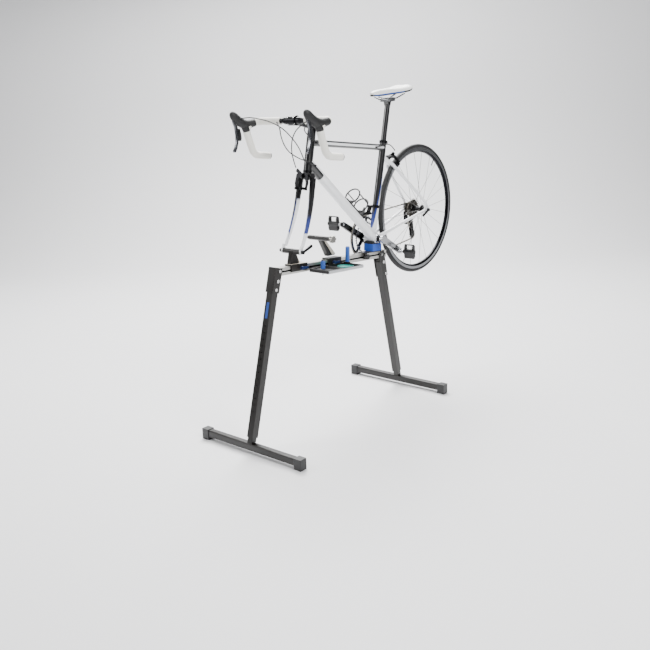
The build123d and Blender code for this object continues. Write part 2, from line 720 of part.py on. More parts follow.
def hub_shell():
    """Hub barrel with its two spoke flanges."""
    barrel = disc(REAR_HUB, -50, cog_y(0) - 3.0, 13.0)
    for y in (LEFT_FLANGE_Y, RIGHT_FLANGE_Y):
        barrel += disc(REAR_HUB, y - FLANGE_HALF, y + FLANGE_HALF, FLANGE_R)
    barrel += disc(REAR_HUB, -56, -50, 10.0)
    return barrel - disc(REAR_HUB, -57, 30, AXLE_R + RUNNING)


def rear_axle():
    """Axle with its lock nuts, bored for the quick-release rod."""
    body = disc(REAR_HUB, -REAR_HALF, REAR_HALF, AXLE_R) + disc(REAR_HUB, -REAR_HALF, -56.5, 9.0)
    body += disc(REAR_HUB, cog_y(9) + 3.5, REAR_HALF, 9.0)
    return body - disc(REAR_HUB, -90, 90, 2.5)


def spokes():
    """Radial spokes on the left, crossed pairs on the right."""
    wires = []
    for i in range(SPOKES_PER_SIDE):
        out = math.radians(30 * i)
        wires.append(spoke(out, out, LEFT_FLANGE_Y + 2.5, -1.5))
        lean = math.radians(62 if i % 2 else -62)
        out = math.radians(30 * i + 15)
        wires.append(spoke(out, out + lean, RIGHT_FLANGE_Y + (2.5 if i % 2 else -2.5), 1.5))
    hub = disc(REAR_HUB, LEFT_FLANGE_Y - FLANGE_HALF, LEFT_FLANGE_Y + FLANGE_HALF, FLANGE_R) \
        + disc(REAR_HUB, RIGHT_FLANGE_Y - FLANGE_HALF, RIGHT_FLANGE_Y + FLANGE_HALF, FLANGE_R)
    hoop = rim()
    return [largest(w - hub - hoop) for w in wires]


def spoke(rim_angle, hub_angle, hub_y, rim_y):
    x, z = REAR_HUB
    hub = (x + 19 * math.cos(hub_angle), hub_y, z + 19 * math.sin(hub_angle))
    end = (x + RIM_INNER_R * math.cos(rim_angle), rim_y, z + RIM_INNER_R * math.sin(rim_angle))
    return rod(hub, end, SPOKE_R)


def skewer(centre, half):
    """Thin rod with a washer under the lever and the nut at its drive-side end."""
    return disc(centre, -half - 2.2, half, 2.5) + disc(centre, half, half + 14, 8.0) \
        + disc(centre, -half - 2.2, -half, 8.0)


def quick_lever(centre, half, heading):
    """Quick-release lever on a cam barrel; heading is the blade's direction in degrees."""
    a = math.radians(heading)
    tip = (centre[0] + 58 * math.cos(a), centre[1] + 58 * math.sin(a))
    side = Vector(-math.sin(a), 0, math.cos(a)) * 7
    middle = Vector(centre[0], -half - 8.5, centre[1])
    barrel = rod(tuple(middle - side), tuple(middle + side), 6.0)
    return barrel + link(centre, tip, 5.0, 7.0, -half - 11, -half - 6.5)


# ---------------------------------------------------------------- brakes

def caliper_arm(side, layer):
    """One caliper arm; side is -1 or +1, layer its depth on the bolt.

    In the caliper's frame x is sideways, y up the wheel's radius and z out along the pivot bolt.
    """
    outline = [(0, -9), (14, -7), (22, -30), (19.5, -60), (27, -60), (34, -32), (30, 6), (14, 15), (-6, 12)]
    shape = extrude(make_face(Polyline(*[(side * x, y) for x, y in outline], close=True)), amount=7)
    reach = (-34, 24) if side < 0 else (-34, 9)
    horn = [(4, 2), (-4, 14), (reach[0] + 6, reach[1] + 8), reach, (reach[0], reach[1] - 6), (-8, 0)]
    shape += extrude(make_face(Polyline(*horn, close=True)), amount=7)
    shape = Pos(0, 0, layer) * (shape - Cylinder(3.5 + RUNNING, 30))
    return shape + Pos(side * 20.5, -55, 11) * Box(5, 12, 26)


def brake_pad(side):
    inner = RIM_HALF + PAD_GAP
    return Pos(side * (inner + 18.0) / 2, -PIVOT_TO_PAD, 11) * Box(18.0 - inner, 9, 46)


def caliper_bolt(plane, backing):
    """Pivot bolt of one brake, trimmed by the frame part it is fixed to."""
    bolt = Pos(0, 0, 5) * Cylinder(3.5, 32) + Pos(0, 0, 20.5) * Cylinder(7.5, 4)
    return largest(plane * bolt - backing)


def build_calipers():
    """Both brakes: one node per arm, each with its pad."""
    for name, plane in brake_planes().items():
        for side, layer in ((1, 2.0), (-1, 10.0)):
            sideways = side * plane.x_dir.Y
            label = "right" if sideways > 0 else "left"
            save(f"{name}_caliper_{label}", bike([plane * caliper_arm(side, layer),
                                                   plane * brake_pad(side)]))


def brake_planes():
    """Places of the two calipers: pivot centre and outward bolt direction."""
    hub = Vector(REAR_HUB[0], 0, REAR_HUB[1])
    toward = (Vector(172, 0, 345) - hub).normalized()
    out = Vector(toward.Z, 0, -toward.X)
    rear_pivot = hub + toward * (RIM_TOP_R - 8 + PIVOT_TO_PAD) + out * 20
    rear = Plane(origin=rear_pivot, x_dir=(0, 1, 0), z_dir=out)
    front_out = Vector(-STEER_DIR[1], 0, STEER_DIR[0])
    front = Plane(origin=steer(331, forward=21), x_dir=(0, -1, 0), z_dir=front_out)
    return {"rear": rear, "front": front}


# ---------------------------------------------------------------- bottle cage

def bottle_cage():
    """Cage bent from rod, on two bosses of the down tube."""
    way = Vector(DOWN_END[0] - DOWN_TOP[0], 0, DOWN_END[2] - DOWN_TOP[2]).normalized()
    out = Vector(-way.Z, 0, way.X)
    plane = Plane(origin=(-186, 0, 433.7 + (-186 + 429) * way.Z / way.X), x_dir=out, z_dir=way)
    strip = Pos(28.2, 0, 52) * Box(3, 16, 150)
    rings = [Pos(66.5, 0, z) * (Torus(38, 2.8) - Pos(-39, 0, 0) * Box(8, 90, 8)) for z in (10, 92)]
    struts = [rod((66.5 + 38 * math.cos(a), 38 * math.sin(a), 9), (66.5 + 38 * math.cos(a),
              38 * math.sin(a), 93), 2.2) for a in (math.radians(70), math.radians(-70))]
    shelf = Pos(52, 0, 126) * Box(50, 14, 3)
    ties = [Pos(32, 0, z) * Box(10, 37, 7.5) for z in (10, 92)]
    cage = strip + rings[0] + rings[1] + struts[0] + struts[1] + shelf + ties[0] + ties[1]
    cage += [Pos(25.2, 0, z) * Rot(0, 90, 0) * Cylinder(4, 4) for z in (20, 84)]
    cage = plane * cage
    return cage - cone(DOWN_TOP, DOWN_END, 21.0, 24.0)


# ---------------------------------------------------------------- cable housings

def housing_path(points):
    """Route of straight runs joined by tangent arcs."""
    radii = []
    for a, b, c in zip(points, points[1:], points[2:]):
        u, v = Vector(*b) - Vector(*a), Vector(*c) - Vector(*b)
        half = math.radians(u.get_angle(v)) / 2
        radii.append(0.45 * min(u.length, v.length) / math.tan(half))
    print("   bend radii", [round(r) for r in radii])
    return FilletPolyline(*points, radius=tuple(radii))


def housing(points):
    path = housing_path(points)
    tube = along(path, HOUSING_R)
    ideal = math.pi * HOUSING_R ** 2 * path.length
    print(f"   length {path.length:.0f} mm, volume ratio {tube.volume / ideal:.3f}")
    return tube


HOUSINGS = {
    "housing_right_shift": [(-627, 199, 645), (-611, 166, 650), (-588, 133, 643), (-551, 96, 626),
                            (-507, 64, 593), (-478, 42, 550), (-452, 29, 506), (-434, 25, 461),
                            (-417, 25, 421.6)],
    "housing_left_shift": [(-517, 84, 617), (-536, 50, 602), (-562, 26, 560), (-556, 4, 503),
                           (-512, -16, 465), (-462, -25, 444), (-417, -25, 421.6)],
    "housing_front_brake": [(-517, -84, 617), (-537, -50, 596), (-540, -18, 552), (-522, 8, 505),
                            (-500, 25, 462), (-478, 31, 418)],
    "housing_rear_brake": [(-508, -84, 608.4), (-500, -52, 590), (-466, -34, 562), (-424, -30, 540),
                           (-386, -22, 518), (-352, -18.5, 507.5)],
    "housing_rear_loop": [(60.5, -18.5, 436.6), (92, -22, 438), (128, -29, 442), (164, -30, 430),
                          (190, -30, 402)],
}


# ---------------------------------------------------------------- stand

def beam():
    """Square extrusion with a slot along each side."""
    section = Rectangle(2 * BEAM_HALF, 2 * BEAM_HALF) - Circle(7.5)
    for s in (-1, 1):
        section -= Pos(s * (BEAM_HALF - 2), 0) * Rectangle(4.2, 8)
        section -= Pos(s * (BEAM_HALF - 5.5), 0) * Rectangle(4, 14)
    bar = extrude(Plane(origin=(BEAM_FRONT, 0, 0), x_dir=(0, 1, 0), z_dir=(1, 0, 0)) * section,
                  amount=BEAM_REAR - BEAM_FRONT)
    return bar


def beam_plugs():
    """Plastic plugs in the two ends of the beam."""
    rear = block((BEAM_REAR, BEAM_REAR + 3), (-BEAM_HALF, BEAM_HALF), (-BEAM_HALF, BEAM_HALF))
    return [rear]


def leg_frame(pin, lean, shapes):
    """Carry shapes from a leg's own frame (x outward, z up along it, origin at the hinge pin)."""
    sign = -1 if lean < 0 else 1
    place = Pos(pin[0], 0, pin[1]) * Rot(0, -lean, 0)
    out = []
    for s in as_list(shapes):
        s = mirror(s, about=Plane.YZ) if sign < 0 else s
        out.append(place * s)
    return stand(out)


def leg_tube(length):
    """Square leg tube with a round head at the hinge and a row of holes on its outer face."""
    body = block((-LEG_HALF, LEG_HALF), (-LEG_HALF, LEG_HALF), (-length, 0))
    body += disc((0, 0), -LEG_HALF, LEG_HALF, LEG_HALF)
    inner = LEG_HALF - LEG_WALL
    body -= block((-inner, inner), (-inner, inner), (-length - 1, -24))
    body -= disc((0, 0), -LEG_HALF - 1, LEG_HALF + 1, 5.0 + RUNNING)
    for i in range(HOLE_COUNT):
        hole = Pos(LEG_HALF, 0, -length + 114 + HOLE_PITCH * i) * Rot(0, 90, 0) * Cylinder(3.5, 10)
        body -= hole
    return body


def leg_length(pin, lean):
    return (pin[1] - LEG_BOTTOM) / math.cos(math.radians(lean))


def foot_x(pin, lean):
    """Distance behind the bottom bracket of a foot bar's centre."""
    way = 1 if pin is REAR_PIN else -1
    return pin[0] + way * (pin[1] - FOOT_TOP) * math.tan(math.radians(lean))


def inner_leg(length):
    """Inner tube of a leg, from inside the outer tube down past the foot bar's top."""
    body = block((-INNER_HALF, INNER_HALF), (-INNER_HALF, INNER_HALF), (-length - 60, -length + 260))
    core = INNER_HALF - INNER_WALL
    return body - block((-core, core), (-core, core), (-length - 61, -length + 261))


def foot_bar(x):
    section = Rectangle(FOOT_SECTION, FOOT_SECTION)
    section = fillet(section.vertices().group_by(Axis.Y)[-1], 7.0)
    hollow = offset(section, amount=-2.5)
    half = FOOT_HALF - 14
    bar = extrude(Plane(origin=(x, -half, FOOT_TOP - FOOT_SECTION / 2), x_dir=(1, 0, 0),
                        z_dir=(0, 1, 0)) * mirror(section - hollow, about=Plane.XZ), amount=2 * half)
    return bar


def foot_caps(x):
    """End caps with a pad under each that stands on the floor."""
    half = FOOT_SECTION / 2
    cap = block((x - half - 3, x + half + 3), (FOOT_HALF - 40, FOOT_HALF), (0, FOOT_TOP + 3))
    cap -= block((x - half, x + half), (FOOT_HALF - 41, FOOT_HALF - 14), (FOOT_TOP - FOOT_SECTION, FOOT_TOP))
    return both_sides(cap)


def leg_bracket(up, down):
    """Side plates and outer stop plate that hold a leg under the beam."""
    side = block((-21, 21), (BEAM_HALF, BEAM_HALF + PLATE_T), (-down, up))
    outer = block((LEG_HALF + 0.3, LEG_HALF + 0.3 + PLATE_T), (-BEAM_HALF, BEAM_HALF), (-down, up))
    body = side + mirrored(side) + outer
    body -= disc((0, 0), -30, 30, 5.0)
    return body


def bracket_bolts(up, down):
    """Hinge pin with its heads, and the lock bolt heads below it."""
    y = BEAM_HALF + PLATE_T
    pin = disc((0, 0), -y, y, 5.0) + disc((0, 0), y, y + 5, 8.0) + disc((0, 0), -y - 5, -y, 8.0)
    lock = disc((4, -down + 14), y, y + 5, 7.0)
    top = disc((-4, up - 14), y, y + 5, 7.0)
    return [pin] + both_sides(lock) + both_sides(top)


def build_leg(name, pin, lean):
    """The tube of one leg and its sliding foot."""
    turn = lean if name == "rear" else -lean
    length = leg_length(pin, lean)
    x = foot_x(pin, lean)
    save(f"{name}_leg_tube", leg_frame(pin, turn, leg_tube(length)))
    inner = leg_frame(pin, turn, inner_leg(length))[0]
    floor = block((x + X_SHIFT - 80, x + X_SHIFT + 80), (-40, 40), (-60, FOOT_TOP))
    save(f"{name}_foot", [inner - floor] + stand([foot_bar(x)] + foot_caps(x)))


def beam_outline():
    """Solid outline of the beam and its plug, used to trim what wraps round it."""
    return block((BEAM_FRONT, BEAM_REAR + 3), (-BEAM_HALF, BEAM_HALF), (-BEAM_HALF, BEAM_HALF))


def clamp_base(x_low, x_high, lever_x):
    """Clamp base over the beam with a skirt down its near side, bored for the lever's stud."""
    top = block((x_low, x_high), (SKIRT_Y, BEAM_HALF), (BEAM_HALF, BEAM_HALF + 7))
    skirt = block((x_low, x_high), (SKIRT_Y, -BEAM_HALF), (-8, BEAM_HALF))
    return top + skirt - disc((lever_x, 4), SKIRT_Y - 1, -BEAM_HALF, STUD_R + RUNNING)


TRAY_X, TRAY_MID = (-515, -262), -402
STUBBY_AT, DRIVER_AT = (-465, -68), (-271, -55)
SKIRT_Y, STUD_R, KNOB_X = -BEAM_HALF - 6, 3.0, -86.0
FRONT_LEVER_X, REAR_LEVER_X = -560.0, -335.0
FORK_MOUNT = (-589.5, 845.8)
REAR_MOUNT = (-398.0, 876.0)


def fork_holder():
    """Upright with the cross tube that takes the fork ends."""
    x, z = FORK_MOUNT
    upright = side_plate([(x - 12, z), (x + 12, z), (x + 30, 788), (x - 26, 790)], -11, 11)
    gusset = side_plate([(x + 10, z - 8), (x + 26, z - 22), (x + 46, 786), (x + 28, 786)], -4, 4)
    tube = disc(FORK_MOUNT, -FORK_HALF, FORK_HALF, 12.0)
    trim = stand_trim()
    body = upright + gusset - trim + tube
    return body - disc(FORK_MOUNT, -60, 60, 2.5)


def stand_trim():
    """Everything below the upper faces of the two clamp bases, in the stand frame."""
    piece = beam_frame(block((-730, 100), (-60, 60), (-80, BEAM_HALF + 7)))[0]
    return Pos(-X_SHIFT, 0, 0) * piece


def rear_holder():
    """Slanted arm with the wide cross tube for a rear dropout."""
    x, z = REAR_MOUNT
    arm = side_plate([(x - 4, z - 8), (x + 12, z + 6), (x + 92, 786), (x + 42, 786)], -11, 11)
    body = arm - stand_trim() + disc(REAR_MOUNT, -REAR_HALF, REAR_HALF, 11.0)
    return body - disc(REAR_MOUNT, -90, 90, 2.5)


def star_knob(radius, depth):
    """Knob with six lobes on an axis along y, its inner face at y = 0, standing out to -y."""
    shape = disc((0, 0), -depth, 0, radius * 0.72)
    for i in range(6):
        a = math.radians(60 * i)
        shape += disc((radius * 0.7 * math.cos(a), radius * 0.7 * math.sin(a)), -depth, 0, radius * 0.3)
    return shape


def holder_knob():
    """Star knob on the end of the rod through the rear holder's cross tube."""
    rod_part = disc(REAR_MOUNT, -REAR_HALF - 4, REAR_HALF + 8, 2.5 - RUNNING)
    nut = disc(REAR_MOUNT, REAR_HALF + 0.5, REAR_HALF + 8, 8.0)
    knob = Pos(REAR_MOUNT[0], -REAR_HALF - 0.5, REAR_MOUNT[1]) * star_knob(17.0, 18.0)
    return rod_part + nut + knob


def stud(x, z):
    """Threaded end of a knob or lever in the wall of a clamp base."""
    return disc((x, z), SKIRT_Y - 1, SKIRT_Y + 5.5, STUD_R)


def clamp_lever(x):
    """Flip lever on the near side of a clamp base, its pivot on an axis along y."""
    y = SKIRT_Y - 0.3
    hub = disc((x, 4), y - 12, y, 8.0) + stud(x, 4)
    return hub + block((x - 6, x + 34), (y - 12, y - 6), (-1, 9))


def cradle_knob():
    """Star knob that locks the cradle's slide plate."""
    return Pos(KNOB_X, SKIRT_Y - 0.3, 2) * star_knob(14.0, 16.0) + stud(KNOB_X, 2)


def cradle():
    """Block that carries the bottom bracket, with its slide plate on the beam."""
    base = block((-98, 40), (SKIRT_Y, BEAM_HALF), (BEAM_HALF, BEAM_HALF + 5))
    skirt = block((-98, -74), (SKIRT_Y, -BEAM_HALF), (-10, BEAM_HALF))
    skirt -= disc((KNOB_X, 2), SKIRT_Y - 1, -BEAM_HALF, STUD_R + RUNNING)
    body = block((-35, 36), (-28, 28), (BEAM_HALF + 5, BEAM_HALF + 40))
    return base + skirt + body


def cradle_pad():
    """Rubber pad shaped to the bottom bracket shell."""
    pad = beam_frame(block((-31, 32), (-26, 26), (BEAM_HALF + 40, BEAM_HALF + 54)))[0]
    shell = bike(disc((0, 0), -60, 60, SHELL_R))[0]
    return pad - shell


def tray():
    """Tool tray beside the beam: an open loop in front, a shallow tray behind, two hanging arms."""
    x, y, z = TRAY_X, (-142, -32), (-19, -4)
    box = block(x, y, z)
    box -= block((x[0] + 8, TRAY_MID - 5), (y[0] + 8, y[1] - 8), (z[0] - 1, z[1] + 1))
    box -= block((TRAY_MID, x[1] - 3), (y[0] + 3, y[1] - 3), (z[0] + 3, z[1] + 1))
    for at in (x[0] + 25, x[1] - 6):
        box += block((at - 6, at + 6), (y[1], -BEAM_HALF), (-9, -4))
    box += block((-480, -450), (y[0] + 8, y[1] - 8), (-16, -8))
    box += block((-284, x[1] - 3), (-68, -42), (-16, 2))
    for at in (STUBBY_AT, DRIVER_AT):
        box -= Pos(*at, -10) * Cylinder(3.6, 40)
    return box


def tray_edge():
    """Pale rail clipped along the tray's near edge."""
    return block((TRAY_X[0] + 2, TRAY_X[1] - 2), (-145, -142), (-17, -5))


def parts_dish():
    """Shallow round dish for small parts, standing in the tray."""
    return Pos(-325, -88, -12) * Cylinder(38, 8) - Pos(-325, -88, -9) * Cylinder(35, 6)


def screwdriver(at, low, high):
    """Tool standing in the tray, its handle from low to high and its shank down through the tray."""
    handle = Pos(*at, (low + high) / 2) * Cylinder(10.5, high - low) + Pos(*at, high + 2) * Cylinder(8, 4)
    return handle + Pos(*at, (low - 36) / 2) * Cylinder(3.0, low + 36)


# ---------------------------------------------------------------- build

def build_frame():
    save("head_tube", bike(head_tube()))
    save("top_tube", bike(top_tube()))
    save("down_tube", bike(down_tube()))
    save("seat_tube", bike(seat_tube()))
    save("chain_stays", bike(chain_stays() + dropouts()))
    save("seat_stays", bike(seat_stays() + [wishbone_stub()]))
    save("fork", bike([fork_crown()] + both_sides(fork_blade())))
    planes = brake_planes()
    bolts = [caliper_bolt(planes["rear"], wishbone_stub()), caliper_bolt(planes["front"], fork_crown())]
    save("frame_fittings", bike([bracket_shell(), seat_clamp(), front_derailleur_mount()] + bracket_cups()
                                + headset() + stem_hardware() + cable_stops() + bolts))
    save("bottle_cage", bike(bottle_cage()))


def build_cockpit():
    save("handlebar", bike(handlebar() + [stem()] + bar_plugs()))
    save("bar_tape", bike(both_sides(bar_tape())))
    save("hoods", bike(both_sides(hood()) + both_sides(lever_axle())))
    for name, shape in (("brake_lever", brake_lever()), ("shift_paddle", shift_paddle())):
        save(f"{name}_right", bike(shape))
        save(f"{name}_left", bike(mirrored(shape)))
    for name, points in HOUSINGS.items():
        save(name, bike(housing(points)))


def build_seat():
    save("seatpost", bike([seatpost(), saddle_clamp()] + saddle_rails()))
    save("saddle", bike(saddle()))


def build_drive():
    print("   chain pitches", len(ROLLERS), "left over", round(CHAIN_REMAINDER, 3))
    save("crank_arms", bike([crank_left(), crank_right(), spindle()] + crank_cap()))
    save("chainrings", bike([big_ring(), small_ring()] + ring_bolts()))
    save("pedal_left", bike(pedal(-1)))
    save("pedal_right", bike(pedal(1)))
    save("chain", bike(chain()))
    save("cassette", bike(cassette() + [freehub()]))
    save("upper_jockey", bike(jockey(UPPER_JOCKEY, PHASES[2])))
    save("lower_jockey", bike(jockey(LOWER_JOCKEY, PHASES[1])))
    save("rear_derailleur", bike(rear_derailleur()))
    save("front_derailleur", bike(front_derailleur()))


def build_wheel():
    save("rim", bike(rim()))
    save("tyre", bike(tyre()))
    save("wheel_hub", bike([hub_shell()] + spokes()))
    save("rear_axle", bike([rear_axle(), skewer(REAR_HUB, REAR_HALF + 5)]))
    save("rear_quick_lever", bike(quick_lever(REAR_HUB, REAR_HALF + 5, 200)))


def build_stand():
    save("beam", beam_frame([beam()] + beam_plugs()))
    trim = beam_frame(beam_outline())[0]
    brackets, fixings = [], []
    for name, pin, lean in (("front", FRONT_PIN, FRONT_LEAN), ("rear", REAR_PIN, REAR_LEAN)):
        build_leg(name, pin, lean)
        up, down = BRACKET_REACH[name]
        turn = lean if name == "rear" else -lean
        brackets.append(leg_frame(pin, turn, leg_bracket(up, down))[0] - trim)
        fixings += leg_frame(pin, turn, bracket_bolts(up, down))
    save("leg_brackets", brackets + fixings)
    save("fork_holder", stand([fork_holder(), skewer(FORK_MOUNT, FORK_HALF + 6)])
         + beam_frame(clamp_base(-625, -520, FRONT_LEVER_X)))
    save("rear_holder", stand(rear_holder()) + beam_frame(clamp_base(-370, -276, REAR_LEVER_X)))
    save("fork_holder_lever", stand(quick_lever(FORK_MOUNT, FORK_HALF + 6, 20)))
    save("rear_holder_knob", stand(holder_knob()))
    save("front_clamp_lever", beam_frame(clamp_lever(FRONT_LEVER_X)))
    save("rear_clamp_lever", beam_frame(clamp_lever(REAR_LEVER_X)))
    save("cradle", [beam_frame(cradle())[0], cradle_pad()])
    save("cradle_knob", beam_frame(cradle_knob()))
    save("tray", beam_frame([tray(), tray_edge(), parts_dish()]))
    save("screwdriver_rear", beam_frame(screwdriver(DRIVER_AT, 2, 70)))
    save("screwdriver_front", beam_frame(screwdriver(STUBBY_AT, -8, 30)))


build_frame()
build_cockpit()
build_seat()
build_drive()
build_wheel()
build_calipers()
build_stand()
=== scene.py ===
"""Looks of a road bicycle held on a folding two-leg repair stand, built round its CAD frame."""
import json
import logging
import math
from dataclasses import dataclass
from enum import Enum
from typing import Callable, Sequence

import bmesh
import bpy
from mathutils import Matrix, Vector

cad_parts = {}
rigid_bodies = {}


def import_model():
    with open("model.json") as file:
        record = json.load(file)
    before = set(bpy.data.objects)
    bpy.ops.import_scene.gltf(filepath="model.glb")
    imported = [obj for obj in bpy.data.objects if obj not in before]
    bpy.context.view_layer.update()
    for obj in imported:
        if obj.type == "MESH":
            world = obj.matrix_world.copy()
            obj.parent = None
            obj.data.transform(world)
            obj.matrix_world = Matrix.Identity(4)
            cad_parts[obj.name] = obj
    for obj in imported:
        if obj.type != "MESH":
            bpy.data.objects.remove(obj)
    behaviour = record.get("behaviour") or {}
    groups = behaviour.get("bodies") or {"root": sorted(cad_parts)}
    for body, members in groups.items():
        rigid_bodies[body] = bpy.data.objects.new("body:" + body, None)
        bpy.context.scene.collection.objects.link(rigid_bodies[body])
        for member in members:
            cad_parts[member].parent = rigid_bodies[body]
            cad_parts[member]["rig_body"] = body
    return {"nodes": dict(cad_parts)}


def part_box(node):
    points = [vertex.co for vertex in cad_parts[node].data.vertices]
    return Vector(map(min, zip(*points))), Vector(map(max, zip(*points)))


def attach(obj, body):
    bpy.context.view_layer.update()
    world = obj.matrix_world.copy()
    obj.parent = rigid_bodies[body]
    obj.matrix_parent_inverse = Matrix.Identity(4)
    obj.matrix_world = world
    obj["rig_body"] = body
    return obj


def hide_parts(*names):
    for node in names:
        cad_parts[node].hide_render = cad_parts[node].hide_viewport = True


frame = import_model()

LOG = logging.getLogger("bicycle_on_stand")
MM = 0.001
TILT = math.radians(4.1)
BRACKET = Vector((0.1015, 0.0, 0.8179))
BIKE = Matrix.Translation(BRACKET) @ Matrix.Rotation(-TILT, 4, "Y")

Point = tuple[float, float, float]
Rule = tuple[Callable[[Vector], bool], "Finish"]


def bike_point(x: float, y: float, z: float) -> Vector:
    """Turn a place on the bicycle into the row frame.

    Args:
        x: Millimetres behind the bottom bracket.
        y: Millimetres to the drive side.
        z: Millimetres above the bottom bracket.

    Returns:
        The point in metres.
    """
    return BIKE @ (Vector((x, y, z)) * MM)


def bike_way(x: float, y: float, z: float) -> Vector:
    """Turn a direction on the bicycle into the row frame.

    Args:
        x: Share rearward.
        y: Share to the drive side.
        z: Share upward.

    Returns:
        The unit direction.
    """
    return (BIKE.to_3x3() @ Vector((x, y, z))).normalized()


# ------------------------------------------------------------------ finishes

def linear(colour: str) -> tuple[float, float, float, float]:
    """Turn an sRGB hex colour into linear values.

    Args:
        colour: Six hex digits after a hash.

    Returns:
        Red, green, blue and full alpha.
    """
    parts = [int(colour[i:i + 2], 16) / 255 for i in (1, 3, 5)]
    made = [c / 12.92 if c <= 0.04045 else ((c + 0.055) / 1.055) ** 2.4 for c in parts]
    return made[0], made[1], made[2], 1.0


def add_node(tree: bpy.types.NodeTree, kind: str, settings: dict | None = None,
             values: dict | None = None, links: dict | None = None) -> bpy.types.Node:
    """Add a shader node with its settings, values and incoming links.

    Args:
        tree: The material's node tree.
        kind: The node's type name.
        settings: Attributes to set on the node.
        values: Input values by name or index.
        links: Output sockets to join, by input name or index.

    Returns:
        The new node.
    """
    made = tree.nodes.new(kind)
    for key, value in (settings or {}).items():
        setattr(made, key, value)
    for key, value in (values or {}).items():
        made.inputs[key].default_value = value
    for key, source in (links or {}).items():
        tree.links.new(source, made.inputs[key])
    return made


@dataclass(frozen=True)
class Span:
    """Distance along a direction, from a first to a last value, in the row frame."""

    origin: Vector
    way: Vector
    first: float
    last: float
    soft_mm: float = 1.0

    def inside(self, tree: bpy.types.NodeTree, place: bpy.types.NodeSocket) -> bpy.types.NodeSocket:
        """Value 1 between the two distances and 0 outside them.

        Args:
            tree: The material's node tree.
            place: Object coordinates.

        Returns:
            The socket that carries the value.
        """
        local = add_node(tree, "ShaderNodeVectorMath", {"operation": "SUBTRACT"},
                         {1: self.origin}, {0: place})
        along = add_node(tree, "ShaderNodeVectorMath", {"operation": "DOT_PRODUCT"},
                         {1: self.way}, {0: local.outputs[0]}).outputs["Value"]
        soft = self.soft_mm * MM
        steps = []
        for edge, low, high in ((self.first, 0.0, 1.0), (self.last, 1.0, 0.0)):
            steps.append(add_node(tree, "ShaderNodeMapRange", {"interpolation_type": "SMOOTHSTEP"},
                                  {"From Min": edge * MM - soft / 2, "From Max": edge * MM + soft / 2,
                                   "To Min": low, "To Max": high}, {"Value": along}))
        return add_node(tree, "ShaderNodeMath", {"operation": "MULTIPLY"}, None,
                        {0: steps[0].outputs[0], 1: steps[1].outputs[0]}).outputs[0]


@dataclass(frozen=True)
class Patch:
    """A painted area where every one of its spans holds."""

    colour: str
    spans: tuple[Span, ...]


@dataclass(frozen=True)
class Finish:
    """One real surface: its material, how it was made and its painted patches.

    The grain is a size on the real surface in millimetres. Moulded and woven grains finer than about
    half a millimetre don't show at the camera's distance, so they are drawn coarser than they are.
    """

    name: str
    colour: str
    roughness: float
    metallic: float = 0.0
    ior: float = 1.5
    coat: float = 0.0
    grain_mm: float = 0.0
    depth_mm: float = 0.0
    stretch: Point = (1.0, 1.0, 1.0)
    wear: float = 0.0
    patches: tuple[Patch, ...] = ()

    def material(self) -> bpy.types.Material:
        """Make the material, or find it if it is already made.

        Returns:
            The material.
        """
        found = bpy.data.materials.get(self.name)
        if found:
            return found
        made = bpy.data.materials.new(self.name)
        made.use_nodes = True
        tree = made.node_tree
        shader = tree.nodes["Principled BSDF"]
        shader.inputs["Base Color"].default_value = linear(self.colour)
        shader.inputs["Roughness"].default_value = self.roughness
        shader.inputs["Metallic"].default_value = self.metallic
        shader.inputs["IOR"].default_value = self.ior
        shader.inputs["Coat Weight"].default_value = self.coat
        shader.inputs["Coat Roughness"].default_value = 0.04
        place = add_node(tree, "ShaderNodeTexCoord").outputs["Object"]
        self._paint(tree, shader, place)
        self._grain(tree, shader, place)
        self._wear(tree, shader, place)
        return made

    def _paint(self, tree: bpy.types.NodeTree, shader: bpy.types.Node,
               place: bpy.types.NodeSocket) -> None:
        """Lay the patches over the base colour."""
        colour = None
        for patch in self.patches:
            amount = patch.spans[0].inside(tree, place)
            for span in patch.spans[1:]:
                amount = add_node(tree, "ShaderNodeMath", {"operation": "MULTIPLY"}, None,
                                  {0: amount, 1: span.inside(tree, place)}).outputs[0]
            mix = add_node(tree, "ShaderNodeMix", {"data_type": "RGBA"}, None, {"Factor": amount})
            mix.inputs["B"].default_value = linear(patch.colour)
            mix.inputs["A"].default_value = linear(self.colour)
            if colour:
                tree.links.new(colour, mix.inputs["A"])
            colour = mix.outputs["Result"]
        if colour:
            tree.links.new(colour, shader.inputs["Base Color"])

    def _grain(self, tree: bpy.types.NodeTree, shader: bpy.types.Node,
               place: bpy.types.NodeSocket) -> None:
        """Raise a fine grain on the surface."""
        if not self.grain_mm:
            return
        scaled = add_node(tree, "ShaderNodeMapping", None, {"Scale": self.stretch}, {"Vector": place})
        noise = add_node(tree, "ShaderNodeTexNoise", None,
                         {"Scale": 1 / (self.grain_mm * MM), "Detail": 3.0},
                         {"Vector": scaled.outputs[0]})
        bump = add_node(tree, "ShaderNodeBump", None,
                        {"Strength": 0.6, "Distance": self.depth_mm * MM},
                        {"Height": noise.outputs[0]})
        tree.links.new(bump.outputs[0], shader.inputs["Normal"])

    def _wear(self, tree: bpy.types.NodeTree, shader: bpy.types.Node,
              place: bpy.types.NodeSocket) -> None:
        """Vary the roughness a little, as handling does."""
        if not self.wear:
            return
        noise = add_node(tree, "ShaderNodeTexNoise", None, {"Scale": 18.0, "Detail": 4.0},
                         {"Vector": place})
        ranged = add_node(tree, "ShaderNodeMapRange", None,
                          {"To Min": max(0.02, self.roughness - self.wear),
                           "To Max": self.roughness + self.wear}, {"Value": noise.outputs[0]})
        tree.links.new(ranged.outputs[0], shader.inputs["Roughness"])


